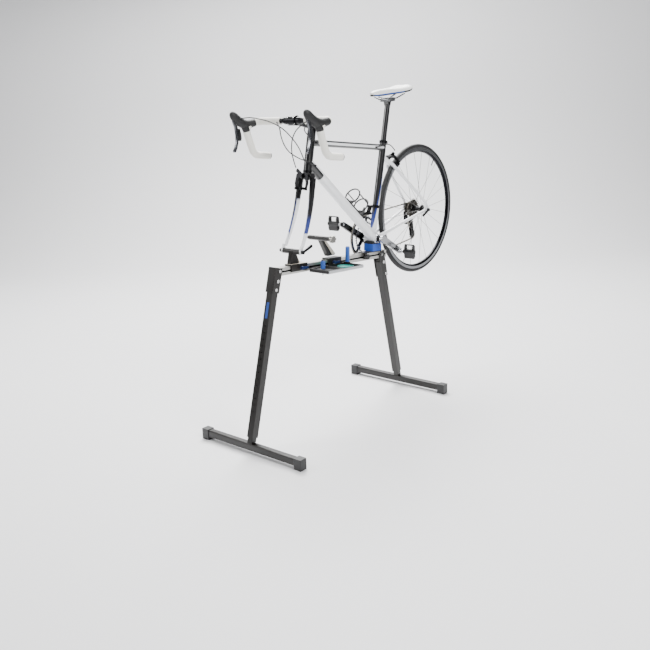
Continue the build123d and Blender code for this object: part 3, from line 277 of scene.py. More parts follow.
SEAT_BACK, SEAT_UP = bike_way(0.9563, 0, -0.2924), bike_way(0.2924, 0, 0.9563)
DOWN_WAY = bike_way(429, 0, -423.7)
DOWN_OUT = bike_way(423.7, 0, 429)
DOWN_START = bike_point(-429, 0, 433.7)
TOP_START = bike_point(-400, 0, 516)
TOP_UP = bike_way(0.1697, 0, 0.9855)
SEAT_SPLIT = (SEAT_BACK * 0.995 - SEAT_UP * 0.0995).normalized()

FORK_RIGHT_IN = Span(bike_point(-457, 36, 345), Vector((0.013, 0.9990, 0.0430)).normalized(), -90, -1.5)
FORK_LEFT_IN = Span(bike_point(-457, -36, 345), Vector((0.013, -0.9990, 0.0430)).normalized(), -90, -1.5)
FORK_LOW = Span(bike_point(-586, 0, 70), bike_way(0.292, 0, 0.956), -60, 232, 12)
NAVY, NEAR_BLACK, PAINT_WHITE = "#24347a", "#0b0b0d", "#e9eaec"


class Paints:
    """Lacquered frame paints. A clear coat gives each a sharp highlight over a deep colour."""

    # Near black that mirrors the lights as thin bright lines
    black = Finish("frame_paint_black_lacquered", NEAR_BLACK, 0.3, coat=0.4, wear=0.04)
    # Clean cool white with a wet edge of light
    white = Finish("frame_paint_white_lacquered", PAINT_WHITE, 0.32, coat=0.5, wear=0.04)
    # Black tube with one white band painted along the middle of each side
    top_tube = Finish("top_tube_paint_striped", NEAR_BLACK, 0.3, coat=0.4, wear=0.04, patches=(
        Patch(PAINT_WHITE, (Span(TOP_START, TOP_UP, -4.5, 6.0),
                            Span(TOP_START, bike_way(1, 0, -0.172), 40, 640, 30))),))
    # White tube that goes black over its upper front
    down_tube = Finish("down_tube_paint_white_with_dark_panel", PAINT_WHITE, 0.32, coat=0.5, wear=0.04,
                       patches=(
        Patch(NEAR_BLACK, (Span(DOWN_START, DOWN_OUT, 13.5, 40), Span(DOWN_START, DOWN_WAY, -40, 225, 40))),
        Patch(NEAR_BLACK, (Span(DOWN_START, DOWN_OUT, -40, 6), Span(DOWN_START, DOWN_WAY, -40, 100, 3)))))
    # Black front, a thin navy edge and a white back
    seat_tube = Finish("seat_tube_paint_split", PAINT_WHITE, 0.32, coat=0.5, wear=0.04, patches=(
        Patch(NAVY, (Span(BRACKET, SEAT_SPLIT, -400, -20.5, 3),)),
        Patch(NEAR_BLACK, (Span(BRACKET, SEAT_SPLIT, -400, -27.5, 4),))))
    # Black crown that fades through navy to white ends, with white inner faces
    fork = Finish("fork_paint_fade", PAINT_WHITE, 0.32, coat=0.5, wear=0.04, patches=(
        Patch(NAVY, (Span(bike_point(-586, 0, 70), bike_way(0.292, 0, 0.956), 82, 500, 8),)),
        Patch(NEAR_BLACK, (Span(bike_point(-586, 0, 70), bike_way(0.292, 0, 0.956), 150, 500, 45),)),
        Patch(NAVY, (FORK_RIGHT_IN, FORK_LEFT_IN, FORK_LOW)),
        Patch(PAINT_WHITE, (Span(FORK_RIGHT_IN.origin, FORK_RIGHT_IN.way, -90, -4.5),
                            Span(FORK_LEFT_IN.origin, FORK_LEFT_IN.way, -90, -4.5), FORK_LOW))))


class Metals:
    """Bare and plated metals, which take their brightness from what they mirror."""

    # Bright and nearly mirror smooth
    silver = Finish("crank_aluminium_polished", "#c9cacc", 0.2, 1.0, wear=0.05)
    # Satin with fine lines along its length
    beam = Finish("beam_aluminium_extruded_anodised", "#c6c5c1", 0.34, 1.0, grain_mm=1.2, depth_mm=0.02,
                  stretch=(0.02, 1, 1), wear=0.05)
    # Clean bright bars
    steel = Finish("steel_stainless_drawn", "#b9babc", 0.25, 1.0, wear=0.05)
    # Dull and warm under a film of oil
    chain = Finish("chain_steel_oiled", "#8f8b84", 0.32, 1.0, wear=0.08)
    # Black with a metal's soft highlight
    rim = Finish("rim_aluminium_black_anodised", "#17171a", 0.3, 1.0, wear=0.05)
    # A grey band where the pads run
    track = Finish("rim_brake_track_machined", "#8d8e90", 0.32, 1.0)
    # Small bright points
    bolt = Finish("bolt_steel_zinc_plated", "#d0d0cf", 0.22, 1.0)
    # Mid grey with a clear highlight along the blade
    blade = Finish("lever_blade_aluminium_grey", "#77787c", 0.26, 1.0, wear=0.04)
    # Dark parts that still read as metal, also used as painted shade on the far crank arm and inside the
    # beam's side slot
    dark = Finish("component_aluminium_black_anodised", "#1a1a1c", 0.34, 0.85, wear=0.05)
    # Thin grey lines that don't sparkle
    spoke = Finish("spoke_stainless_drawn_dulled", "#6f6e6c", 0.3, 1.0)
    # Warm grey with a broad soft highlight
    knob = Finish("knob_aluminium_cast", "#8c8a86", 0.36, 1.0, wear=0.06)
    # Dark, with an oily variation from cog to cog
    cogs = Finish("sprocket_steel_nickel_oiled", "#4a4641", 0.34, 1.0, wear=0.08)
    # Deep black under a thick gloss
    post = Finish("seatpost_carbon_lacquered", "#101012", 0.3, coat=0.8, wear=0.04)
    # Darker than the bolts that stand on it
    ring = Finish("chainring_aluminium_grey", "#4b4c50", 0.3, 1.0, wear=0.05)


class Plastics:
    """Moulded and rubber-like materials, with a fine moulded grain where they have one."""

    # Satin black
    black = Finish("plastic_black_moulded", "#131314", 0.45, grain_mm=0.6, depth_mm=0.02, wear=0.04)
    # Matt black without a clear highlight
    rubber = Finish("rubber_black_moulded", "#0f0f10", 0.62, grain_mm=0.8, depth_mm=0.05)
    # Black with one thin line of light along the curve
    housing = Finish("cable_housing_black_extruded", "#0d0d0e", 0.38)
    # The dullest black, slightly rough
    tyre = Finish("tyre_rubber_moulded", "#121213", 0.68, grain_mm=1.1, depth_mm=0.12)
    # Strong blue block under the frame
    blue = Finish("cradle_plastic_blue_moulded", "#1a49a6", 0.36, wear=0.04)
    # Blue that is almost black away from the light
    navy = Finish("clamp_lever_plastic_navy_moulded", "#16264f", 0.3, wear=0.04)
    # Paler, glossier blue
    handle = Finish("tool_handle_blue_moulded", "#3a5fb0", 0.3, coat=0.3)
    # Green-blue accent in the tray
    teal = Finish("dish_plastic_teal_moulded", "#2d8f86", 0.35)
    # Warm soft white, duller than the paint
    tape = Finish("bar_tape_white_cork_wrapped", "#e4e2da", 0.6, grain_mm=1.6, depth_mm=0.12, wear=0.03)
    # Flat blue without a highlight
    label = Finish("leg_label_blue_printed", "#1f4490", 0.4)


class Covers:
    """Stitched saddle covering, with the fine grain of coated cloth."""

    # Soft neutral white
    white = Finish("saddle_cover_white_stitched", "#e6e6e4", 0.42, grain_mm=0.9, depth_mm=0.05, wear=0.04)
    # Dark under edge that thins the saddle to the eye
    skirt = Finish("saddle_skirt_black_stitched", "#121214", 0.5, grain_mm=0.9, depth_mm=0.05)
    # One blue line along each side
    piping = Finish("saddle_piping_blue_moulded", "#1f4490", 0.4)


class Stands:
    """Painted steel of the stand."""

    # Black with a fine orange-peel texture that breaks up its highlight
    coat = Finish("stand_steel_black_powder_coated", "#0f0c09", 0.36, ior=1.45, grain_mm=1.5, depth_mm=0.03,
                  wear=0.04)
    # Plain warm grey
    gusset = Finish("gusset_steel_grey_painted", "#b3aca0", 0.4, wear=0.04)


# ------------------------------------------------------------------ making pieces

def paint(node: str, base: Finish, rules: Sequence[Rule] = ()) -> None:
    """Give a CAD node its finishes.

    Args:
        node: The node's name.
        base: The finish of every face that no rule picks.
        rules: Tests of a face's centre in the row frame, each with its finish.
    """
    mesh = frame["nodes"][node].data
    paint_mesh(mesh, base, rules)
    LOG.info("finished %s", node)


def paint_mesh(mesh: bpy.types.Mesh, base: Finish, rules: Sequence[Rule] = ()) -> None:
    """Give a mesh its finishes, as paint does for a node.

    Args:
        mesh: The mesh.
        base: The finish of every face that no rule picks.
        rules: Tests of a face's centre, each with its finish.
    """
    mesh.materials.clear()
    mesh.materials.append(base.material())
    for _, finish in rules:
        mesh.materials.append(finish.material())
    for face in mesh.polygons:
        face.material_index = next((i + 1 for i, (test, _) in enumerate(rules) if test(face.center)), 0)


def softened(node: str, base: Finish, bevel_mm: float, rules: Sequence[Rule] = (),
             fuller_mm: float = 0.0) -> bpy.types.Object:
    """Show a CAD node as a copy with small rounded edges that catch the light.

    Args:
        node: The node's name.
        base: The main finish.
        bevel_mm: Edge radius.
        rules: Tests of a face's centre, each with its finish.
        fuller_mm: How far every face is moved outward.

    Returns:
        The piece, riding on the node's body.
    """
    source = frame["nodes"][node]
    mesh = source.data.copy()
    if "custom_normal" in mesh.attributes:
        mesh.attributes.remove(mesh.attributes["custom_normal"])
    work = bmesh.new()
    work.from_mesh(mesh)
    bmesh.ops.remove_doubles(work, verts=work.verts, dist=2e-6)
    bmesh.ops.dissolve_limit(work, angle_limit=math.radians(1), verts=work.verts, edges=work.edges)
    for face in work.faces:
        face.smooth = True
    for edge in work.edges:
        edge.smooth = len(edge.link_faces) == 2 and edge.calc_face_angle(0) < math.radians(32)
    work.to_mesh(mesh)
    work.free()
    paint_mesh(mesh, base, rules)
    piece = bpy.data.objects.new(f"{node}_shown", mesh)
    bpy.context.scene.collection.objects.link(piece)
    if fuller_mm:
        swell = piece.modifiers.new("fuller", "DISPLACE")
        swell.strength, swell.mid_level = fuller_mm * MM, 0.0
    bevel = piece.modifiers.new("edges", "BEVEL")
    bevel.width = bevel_mm * MM
    bevel.segments = 2
    bevel.limit_method = "ANGLE"
    bevel.angle_limit = math.radians(40)
    bevel.use_clamp_overlap = True
    bevel.harden_normals = True
    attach(piece, source["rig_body"])
    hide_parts(node)
    LOG.info("softened %s", node)
    return piece


def mesh_piece(name: str, work: bmesh.types.BMesh, finish: Finish, body: str) -> bpy.types.Object:
    """Turn a finished bmesh into a piece that rides on a CAD body.

    Args:
        name: The piece's name.
        work: The mesh data, freed here.
        finish: Its finish.
        body: The CAD body it rides on.

    Returns:
        The piece.
    """
    mesh = bpy.data.meshes.new(name)
    bmesh.ops.recalc_face_normals(work, faces=work.faces)
    for face in work.faces:
        face.smooth = True
    for edge in work.edges:
        edge.smooth = len(edge.link_faces) == 2 and edge.calc_face_angle(0) < math.radians(35)
    work.to_mesh(mesh)
    work.free()
    mesh.materials.append(finish.material())
    piece = bpy.data.objects.new(name, mesh)
    bpy.context.scene.collection.objects.link(piece)
    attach(piece, body)
    return piece


def wall(work: bmesh.types.BMesh, low: Sequence[bmesh.types.BMVert],
         high: Sequence[bmesh.types.BMVert]) -> None:
    """Join two rings of the same count with a face to each side.

    Args:
        work: The mesh being built.
        low: One ring.
        high: The other ring.
    """
    count = len(low)
    for i in range(count):
        work.faces.new((low[i], low[(i + 1) % count], high[(i + 1) % count], high[i]))


def add_bar(work: bmesh.types.BMesh, start: Vector, end: Vector, radius: float, sides: int = 16) -> None:
    """Add a closed round bar to a mesh.

    Args:
        work: The mesh being built.
        start: One end, in metres.
        end: The other end.
        radius: Its radius, in metres.
        sides: Faces round it.
    """
    line = end - start
    place = Matrix.Translation((start + end) / 2) @ line.to_track_quat("Z", "Y").to_matrix().to_4x4()
    bmesh.ops.create_cone(work, cap_ends=True, segments=sides, radius1=radius, radius2=radius,
                          depth=line.length, matrix=place)


def screw(work: bmesh.types.BMesh, at: Vector, out: Vector, radius_mm: float, height_mm: float) -> None:
    """Add a cap screw's head with a hexagon socket.

    Args:
        work: The mesh being built.
        at: The centre of the face it sits on.
        out: The direction it stands out.
        radius_mm: Head radius.
        height_mm: Head height.
    """
    way = out.normalized()
    turn = way.to_track_quat("Z", "Y").to_matrix()
    rings = [(1.0, 0.0), (1.0, 0.8), (0.88, 1.0), (0.52, 1.0), (0.5, 0.35)]
    count = 18
    loops = []
    for share, level in rings:
        loop = []
        for i in range(count):
            a = 2 * math.pi * i / count
            wave = 1.0 if share > 0.55 else 1 / max(abs(math.cos((a % (math.pi / 3)) - math.pi / 6)), 0.5)
            r = radius_mm * MM * share * wave * (1.0 if share > 0.55 else 0.9)
            loop.append(work.verts.new(at + turn @ Vector((r * math.cos(a), r * math.sin(a), 0))
                                       + way * level * height_mm * MM))
        loops.append(loop)
    for low, high in zip(loops, loops[1:]):
        wall(work, low, high)
    work.faces.new(loops[-1])
    work.faces.new(list(reversed(loops[0])))


def loft(name: str, sections: Sequence[Sequence[Vector]], finish: Finish, body: str,
         levels: int = 2) -> bpy.types.Object:
    """Join equal closed sections into a smooth skin with closed ends.

    Args:
        name: The piece's name.
        sections: Rings of points, each with the same count.
        finish: Its finish.
        body: The CAD body it rides on.
        levels: Subdivision levels.

    Returns:
        The piece.
    """
    work = bmesh.new()
    rings = [[work.verts.new(p) for p in section] for section in sections]
    for low, high in zip(rings, rings[1:]):
        wall(work, low, high)
    work.faces.new(list(reversed(rings[0])))
    work.faces.new(rings[-1])
    piece = mesh_piece(name, work, finish, body)
    for edge in piece.data.edges:
        edge.use_edge_sharp = False
    skin = piece.modifiers.new("skin", "SUBSURF")
    skin.levels = skin.render_levels = levels
    return piece


# ------------------------------------------------------------------ bicycle

@dataclass
class PaintedFrame:
    """Frame tubes, fork and the small fittings fixed to them."""

    def build(self) -> None:
        """Finish the frame's nodes."""
        paint("head_tube", Paints.black)
        paint("top_tube", Paints.top_tube)
        paint("down_tube", Paints.down_tube)
        paint("seat_tube", Paints.seat_tube)
        paint("chain_stays", Paints.white)
        paint("seat_stays", Paints.white)
        paint("fork", Paints.fork)
        cups = (lambda c: abs(c.y) > 0.0341 and (c - BRACKET).length < 0.06, Metals.silver)
        shell = (lambda c: (c - BRACKET).xz.length < 0.03 and abs(c.y) < 0.0345, Paints.white)
        paint("frame_fittings", Metals.dark, [shell, cups])
        softened("bottle_cage", Plastics.black, 0.5, fuller_mm=0.9)


@dataclass(frozen=True)
class SaddleSize:
    """Saddle outline from nose to tail in the bicycle's own millimetres.

    Each station is a place, a half width, the under edge's height and the crown's height. The half
    outline goes from the centre channel over the side and under, as shares of those.
    """

    stations: tuple[tuple[float, float, float, float], ...] = (
        (67, 12, 676, 687), (74, 17, 671, 693), (95, 21, 668, 697), (135, 24, 667, 699),
        (180, 29, 668, 699), (222, 42, 669, 699), (258, 58, 670, 700), (292, 67, 672, 703),
        (318, 66, 677, 706.5), (333, 54, 686, 706))
    half_outline: tuple[tuple[float, float], ...] = (
        (0.07, 0.93), (0.3, 1.0), (0.6, 0.95), (0.86, 0.78), (0.98, 0.5), (1.0, 0.3),
        (0.985, 0.12), (0.93, 0.0), (0.85, 0.02), (0.78, 0.34), (0.4, 0.42), (0.1, 0.42))
    piping_row: int = 5
    piping_end: float = 250.0


@dataclass
class Saddle:
    """Padded saddle with a shallow centre channel, on its rails."""

    size: SaddleSize

    def section(self, x: float, half: float, low: float, high: float) -> list[Vector]:
        """One ring across the saddle, from its under edge over the top and back.

        Args:
            x: Millimetres behind the bottom bracket.
            half: Half width.
            low: Height of the under edge.
            high: Height of the crown.

        Returns:
            The ring's points in the row frame.
        """
        thick = high - low
        right = list(self.size.half_outline)
        outline = right + [(-u, v) for u, v in reversed(right)]
        return [bike_point(x, half * u, low + thick * v) for u, v in outline]

    def build(self) -> None:
        """Make the cover and finish the post and rails."""
        rings = [self.section(*station) for station in self.size.stations]
        cover = loft("saddle_cover", rings, Covers.white, "seat")
        cover.data.materials.append(Covers.skirt.material())
        cover.data.materials.append(Covers.piping.material())
        around = 2 * len(self.size.half_outline)
        near, far = self.size.piping_row, around - self.size.piping_row - 2
        for i, face in enumerate(cover.data.polygons):
            row = i % around
            local = (BIKE.inverted() @ face.center) / MM
            if row in (near, far):
                face.material_index = 2 if local.x < self.size.piping_end else 1
            elif near < row < far:
                face.material_index = 1
        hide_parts("saddle")
        paint("seatpost", Metals.post, [(lambda c: (BIKE.inverted() @ c).z > 0.6365, Metals.steel)])


class Side(Enum):
    """The two sides of the bicycle, by the sign of y."""

    RIGHT = 1
    LEFT = -1


@dataclass(frozen=True)
class GripSize:
    """Handlebar grip route, hood sections and wrap in the bicycle's own millimetres."""

    route: tuple[tuple[float, float, float, float], ...] = (
        (-503, 72, 622, 0), (-503, 210, 622, 34), (-589, 210, 613, 34), (-548, 210, 481, 44),
        (-455, 210, 465, 0))
    radius: float = 15.4
    lap: float = 21.0
    ridge: float = 0.9
    hood: tuple[tuple[float, float, float, float], ...] = (
        (-521, 619.5, 16.2, 16.4), (-524, 619.5, 17.4, 17.6), (-550, 617, 17.6, 18.4), (-575, 615, 17.6, 21),
        (-598, 621, 17.8, 22), (-618, 634, 18, 20.5), (-634, 645, 18, 21), (-647, 659, 17, 20),
        (-657, 670, 13, 14), (-662, 675, 6, 7))
    skirt: tuple[tuple[float, float, float, float], ...] = (
        (-592, 630, 14, 14), (-590, 616, 17.4, 18), (-583, 600, 17.3, 17.6), (-577.5, 588, 17.2, 17.2),
        (-577, 585.5, 16.2, 16.2))


def bent(corners: Sequence[tuple[float, float, float, float]], step: float) -> list[Vector]:
    """Points at even steps along straight runs joined by arcs.

    Args:
        corners: Corner places, each with its bend radius, in millimetres.
        step: Greatest distance between points.

    Returns:
        The points in the bicycle's own millimetres.
    """
    spots = [Vector(c[:3]) for c in corners]
    made = [spots[0]]
    for i in range(1, len(spots) - 1):
        back, ahead = (spots[i - 1] - spots[i]).normalized(), (spots[i + 1] - spots[i]).normalized()
        half = back.angle(ahead) / 2
        reach = corners[i][3] / math.tan(half)
        centre = spots[i] + (back + ahead).normalized() * (corners[i][3] / math.sin(half))
        first = (spots[i] + back * reach - centre).normalized()
        last = (spots[i] + ahead * reach - centre).normalized()
        parts = max(2, math.ceil((math.pi - 2 * half) * corners[i][3] / step))
        made += [centre + first.slerp(last, k / parts) * corners[i][3] for k in range(parts + 1)]
    made.append(spots[-1])
    filled = [made[0]]
    for start, end in zip(made, made[1:]):
        parts = max(1, math.ceil((end - start).length / step))
        filled += [start.lerp(end, k / parts) for k in range(1, parts + 1)]
    return filled


def rings_along(path: Sequence[Vector], size: Callable[[int, float], tuple[float, float]],
                count: int) -> list[list[Vector]]:
    """Closed rings square to a path that lies in planes without twist.

    Args:
        path: Points in the bicycle's own millimetres.
        size: Half width and half height at a ring index and an angle.
        count: Points round each ring.

    Returns:
        The rings in the row frame.
    """
    made, side = [], None
    for i, point in enumerate(path):
        way = (path[min(i + 1, len(path) - 1)] - path[max(i - 1, 0)]).normalized()
        if side is None:
            side = way.cross(Vector((0, 0, 1))).normalized()
        side = (side - way * side.dot(way)).normalized()
        over = side.cross(way)
        ring = []
        for k in range(count):
            a = 2 * math.pi * k / count
            wide, tall = size(i, a)
            ring.append(bike_point(*(point + side * math.cos(a) * wide + over * math.sin(a) * tall)))
        made.append(ring)
    return made


@dataclass
class Cockpit:
    """Handlebar, tape, hoods and levers."""

    size: GripSize

    def moulding(self, name: str, rows: Sequence[tuple[float, float, float, float]],
                 side: Side) -> bpy.types.Object:
        """One rubber moulding over a bend of the handlebar.

        Args:
            name: The piece's name.
            rows: Place, half width and half height of each section.
            side: Which side.

        Returns:
            The piece.
        """
        path = [Vector((x, side.value * 210, z)) for x, z, _, _ in rows]
        rings = rings_along(path, lambda i, _: rows[i][2:], 16)
        return loft(name, rings, Plastics.rubber, "stand_and_frame", 1)

    def tape(self, side: Side) -> bpy.types.Object:
        """Tape wound round one half of the bar, each turn lapping over the last.

        Args:
            side: Which side.

        Returns:
            The piece.
        """
        corners = [(x, side.value * y, z, r) for x, y, z, r in self.size.route]
        path = bent(corners, 2.0)
        travelled = [0.0]
        for start, end in zip(path, path[1:]):
            travelled.append(travelled[-1] + (end - start).length)

        def wound(i: int, angle: float) -> tuple[float, float]:
            """Radius of the wound tape at a ring and angle."""
            turn = (travelled[i] / self.size.lap + angle / (2 * math.pi)) % 1
            grown = self.size.radius + self.size.ridge * (turn if turn < 0.93 else (1 - turn) * 13.3)
            return grown, grown

        rings = rings_along(path, wound, 28)
        return loft(f"wound_tape_{side.name.lower()}", rings, Plastics.tape, "stand_and_frame", 0)

    def build(self) -> None:
        """Make both sides and finish the bar and stem."""
        tapes, covers = [], []
        for side in Side:
            low = side.name.lower()
            tapes.append(self.tape(side))
            covers.append(self.moulding(f"hood_cover_{low}", self.size.hood, side))
            covers.append(self.moulding(f"hood_skirt_{low}", self.size.skirt, side))
            softened(f"brake_lever_{low}", Metals.blade, 2.2)
            softened(f"shift_paddle_{low}", Plastics.black, 1.5)
        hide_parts("bar_tape")
        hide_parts("hoods")
        paint("handlebar", Metals.dark)
        self.stem_screws()

    def stem_screws(self) -> None:
        """Four face-plate screws on the stem's front."""
        work = bmesh.new()
        way = bike_way(-1, 0, 0)
        for y in (-16, 16):
            for z in (609, 635):
                screw(work, bike_point(-519, y, z), way, 3.4, 3.2)
        piece = mesh_piece("stem_screws", work, Metals.bolt, "stand_and_frame")


@dataclass(frozen=True)
class Housing:
    """One cable housing: the CAD node, its route on the bicycle and its length."""

    node: str
    length: float
    route: tuple[Point, ...]


HOUSINGS = (
    Housing("housing_right_shift", 0.396, ((-627, 199, 645), (-611, 166, 650), (-588, 133, 643),
            (-551, 96, 626), (-507, 64, 593), (-478, 42, 550), (-452, 29, 506), (-434, 25, 461),
            (-417, 25, 421.6))),
    Housing("housing_left_shift", 0.319, ((-517, 84, 617), (-536, 50, 602), (-562, 26, 560),
            (-556, 4, 503), (-512, -16, 465), (-462, -25, 444), (-417, -25, 421.6))),
    Housing("housing_front_brake", 0.255, ((-517, -84, 617), (-537, -50, 596), (-540, -18, 552),
            (-522, 8, 505), (-500, 25, 462), (-478, 31, 418))),
    Housing("housing_rear_brake", 0.211, ((-508, -84, 608.4), (-500, -52, 590), (-466, -34, 562),
            (-424, -30, 540), (-386, -22, 518), (-352, -18.5, 507.5))),
    Housing("housing_rear_loop", 0.143, ((60.5, -18.5, 436.6), (92, -22, 438), (128, -29, 442),
            (164, -30, 430), (190, -30, 402))),
)


@dataclass
class Cables:
    """Cable housings as smooth curves along their routes."""

    radius_mm: float = 2.5

    def build(self) -> None:
        """Make every housing."""
        for housing in HOUSINGS:
            curve = bpy.data.curves.new(f"{housing.node}_curve", "CURVE")
            curve.dimensions = "3D"
            curve.bevel_depth = self.radius_mm * MM
            curve.bevel_resolution = 5
            curve.use_fill_caps = True
            line = curve.splines.new("NURBS")
            line.points.add(len(housing.route) - 1)
            for point, place in zip(line.points, housing.route):
                point.co = (*bike_point(*place), 1.0)
            line.order_u = 3
            line.use_endpoint_u = True
            line.resolution_u = 16
            piece = bpy.data.objects.new(f"{housing.node}_shown", curve)
            bpy.context.scene.collection.objects.link(piece)
            curve.materials.append(Plastics.housing.material())
            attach(piece, "stand_and_frame")
            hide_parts(housing.node)
            LOG.info("laid %s", housing.node)


CHAIN_PITCH = 12.7


@dataclass(frozen=True)
class ChainWheel:
    """A sprocket the chain runs on: centre, tooth count and the way the chain turns on it."""

    x: float
    z: float
    teeth: int
    turn: int

    @property
    def radius(self) -> float:
        """Pitch radius in millimetres."""
        return CHAIN_PITCH / (2 * math.sin(math.pi / self.teeth))


@dataclass
class Chain:
    """Roller chain of separate links round its four sprockets, in millimetres.

    Inner and outer are the side plates' distances from its middle. A pin or roller is a half length,
    a radius and a number of faces.
    """

    pitch: float = CHAIN_PITCH
    y: float = 48.2
    inner: float = 1.6
    outer: float = 2.5
    thick: float = 0.8
    pin: tuple[float, float, int] = (3.0, 1.8, 8)
    roller: tuple[float, float, int] = (1.2, 3.7, 12)
    wheels: tuple[ChainWheel, ...] = (ChainWheel(0, 0, 53, 1), ChainWheel(417.0, -73.2, 11, 1),
                                      ChainWheel(411.0, -8.0, 11, -1), ChainWheel(398.9, 70.0, 15, 1))

    def runs(self) -> list[tuple[Vector, Vector]]:
        """Straight runs between the sprockets.

        Returns:
            Start and end of each run as (x, z).
        """
        made = []
        for a, b in zip(self.wheels, self.wheels[1:] + self.wheels[:1]):
            dx, dz = b.x - a.x, b.z - a.z
            span = math.hypot(dx, dz)
            heading = math.atan2(dz, dx) - math.asin((b.turn * b.radius - a.turn * a.radius) / span)
            side = Vector((-math.sin(heading), math.cos(heading)))
            made.append((Vector((a.x, a.z)) - side * a.turn * a.radius,
                         Vector((b.x, b.z)) - side * b.turn * b.radius))
        return made

    def pins(self) -> list[Vector]:
        """Pin centres one pitch apart round the loop.

        Returns:
            Centres as (x, z).
        """
        runs, made, left = self.runs(), [], 0.0
        for i, wheel in enumerate(self.wheels):
            centre = Vector((wheel.x, wheel.z))
            arrive, leave = runs[i - 1][1] - centre, runs[i][0] - centre
            start = math.atan2(arrive.y, arrive.x)
            swept = (math.atan2(leave.y, leave.x) - start) * wheel.turn % (2 * math.pi)
            step = 2 * math.pi / wheel.teeth
            angle = left * step
            while angle < swept:
                at = start + wheel.turn * angle
                made.append(centre + Vector((math.cos(at), math.sin(at))) * wheel.radius)
                angle += step
            line = runs[i][1] - runs[i][0]
            at = (angle - swept) / step * self.pitch
            while at < line.length:
                made.append(runs[i][0] + line * (at / line.length))
                at += self.pitch
            left = (at - line.length) / self.pitch
        return made

    def plate(self, work: bmesh.types.BMesh, a: Vector, b: Vector, y: float, thick: float) -> None:
        """Add one figure-of-eight side plate.

        Args:
            work: The mesh being built.
            a: One pin as (x, z).
            b: The other pin.
            y: Middle of its thickness.
            thick: Its thickness.
        """
        way = (b - a).normalized()
        side = Vector((-way.y, way.x))
        outline = []
        for centre, sign in ((b, 1), (a, -1)):
            for i in range(7):
                turn = math.radians(-65 + 130 * i / 6)
                outline.append(centre + (way * math.cos(turn) * sign + side * math.sin(turn) * sign) * 4.1)
            outline.append((a + b) / 2 + side * 2.9 * sign)
        layers = [[work.verts.new(bike_point(p.x, y + s * thick / 2, p.y)) for p in outline] for s in (-1, 1)]
        wall(work, *layers)
        work.faces.new(layers[0])
        work.faces.new(list(reversed(layers[1])))

    def build(self) -> None:
        """Make the whole chain as one mesh."""
        work, pins = bmesh.new(), self.pins()
        for i, pin in enumerate(pins):
            after = pins[(i + 1) % len(pins)]
            offset = self.outer if i % 2 else self.inner
            for s in (-1, 1):
                self.plate(work, pin, after, self.y + s * offset, self.thick)
            for half, radius, sides in (self.pin, self.roller):
                add_bar(work, bike_point(pin.x, self.y - half, pin.y),
                        bike_point(pin.x, self.y + half, pin.y), radius * MM, sides)
        piece = mesh_piece("chain_links", work, Metals.chain, "stand_and_frame")
        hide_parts("chain")
        LOG.info("chain of %d pitches", len(pins))


@dataclass
class Drive:
    """Cranks, rings, pedals, sprockets and derailleurs."""

    def build(self) -> None:
        """Finish the drive's nodes."""
        # Painted shade: the far, drive-side crank arm keeps the dark metal for the shade on its inner face;
        # both arms are the same grey metal and only the near arm gets the silver.
        paint("crank_arms", Metals.dark, [(lambda c: c.y < -0.0525, Metals.silver)])
        paint("chainrings", Metals.ring, [(lambda c: (c - BRACKET).xz.length < 0.074 and c.y > 0.0493,
                                           Metals.bolt)])
        for side in Side:
            softened(f"pedal_{side.name.lower()}", Plastics.black, 0.8,
                     [(lambda c: abs(c.y) < 0.0835, Metals.steel)])
        paint("cassette", Metals.cogs)
        paint("upper_jockey", Plastics.black)
        paint("lower_jockey", Plastics.black)
        softened("rear_derailleur", Metals.dark, 0.8)
        softened("front_derailleur", Metals.dark, 0.4)
        Chain().build()


@dataclass
class RearWheel:
    """Rim, tyre, spokes and hub."""

    def build(self) -> None:
        """Finish the wheel's nodes and add its valve."""
        hub = (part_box("tyre")[0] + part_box("tyre")[1]) / 2

        def on_track(c: Vector) -> bool:
            """True on the rim's braking face."""
            return (c - hub).xz.length > 0.3055 and abs(c.y) > 0.0095

        paint("rim", Metals.rim, [(on_track, Metals.track)])
        paint("tyre", Plastics.tyre)
        paint("wheel_hub", Metals.dark, [(lambda c: (c - hub).xz.length > 0.0235, Metals.spoke)])
        paint("rear_axle", Metals.steel)
        softened("rear_quick_lever", Metals.dark, 0.8)
        work = bmesh.new()
        inward = bike_way(-0.62, 0, -0.78)
        top = hub - inward * 0.293
        add_bar(work, top, top + inward * 0.034, 2.6 * MM)
        piece = mesh_piece("tyre_valve", work, Metals.dark, "rear_wheel")


@dataclass
class Brakes:
    """The two calipers with their pads."""

    def build(self) -> None:
        """Finish the caliper arms."""
        for place in ("front", "rear"):
            for side in Side:
                softened(f"{place}_caliper_{side.name.lower()}", Metals.dark, 0.7)


# ------------------------------------------------------------------ stand

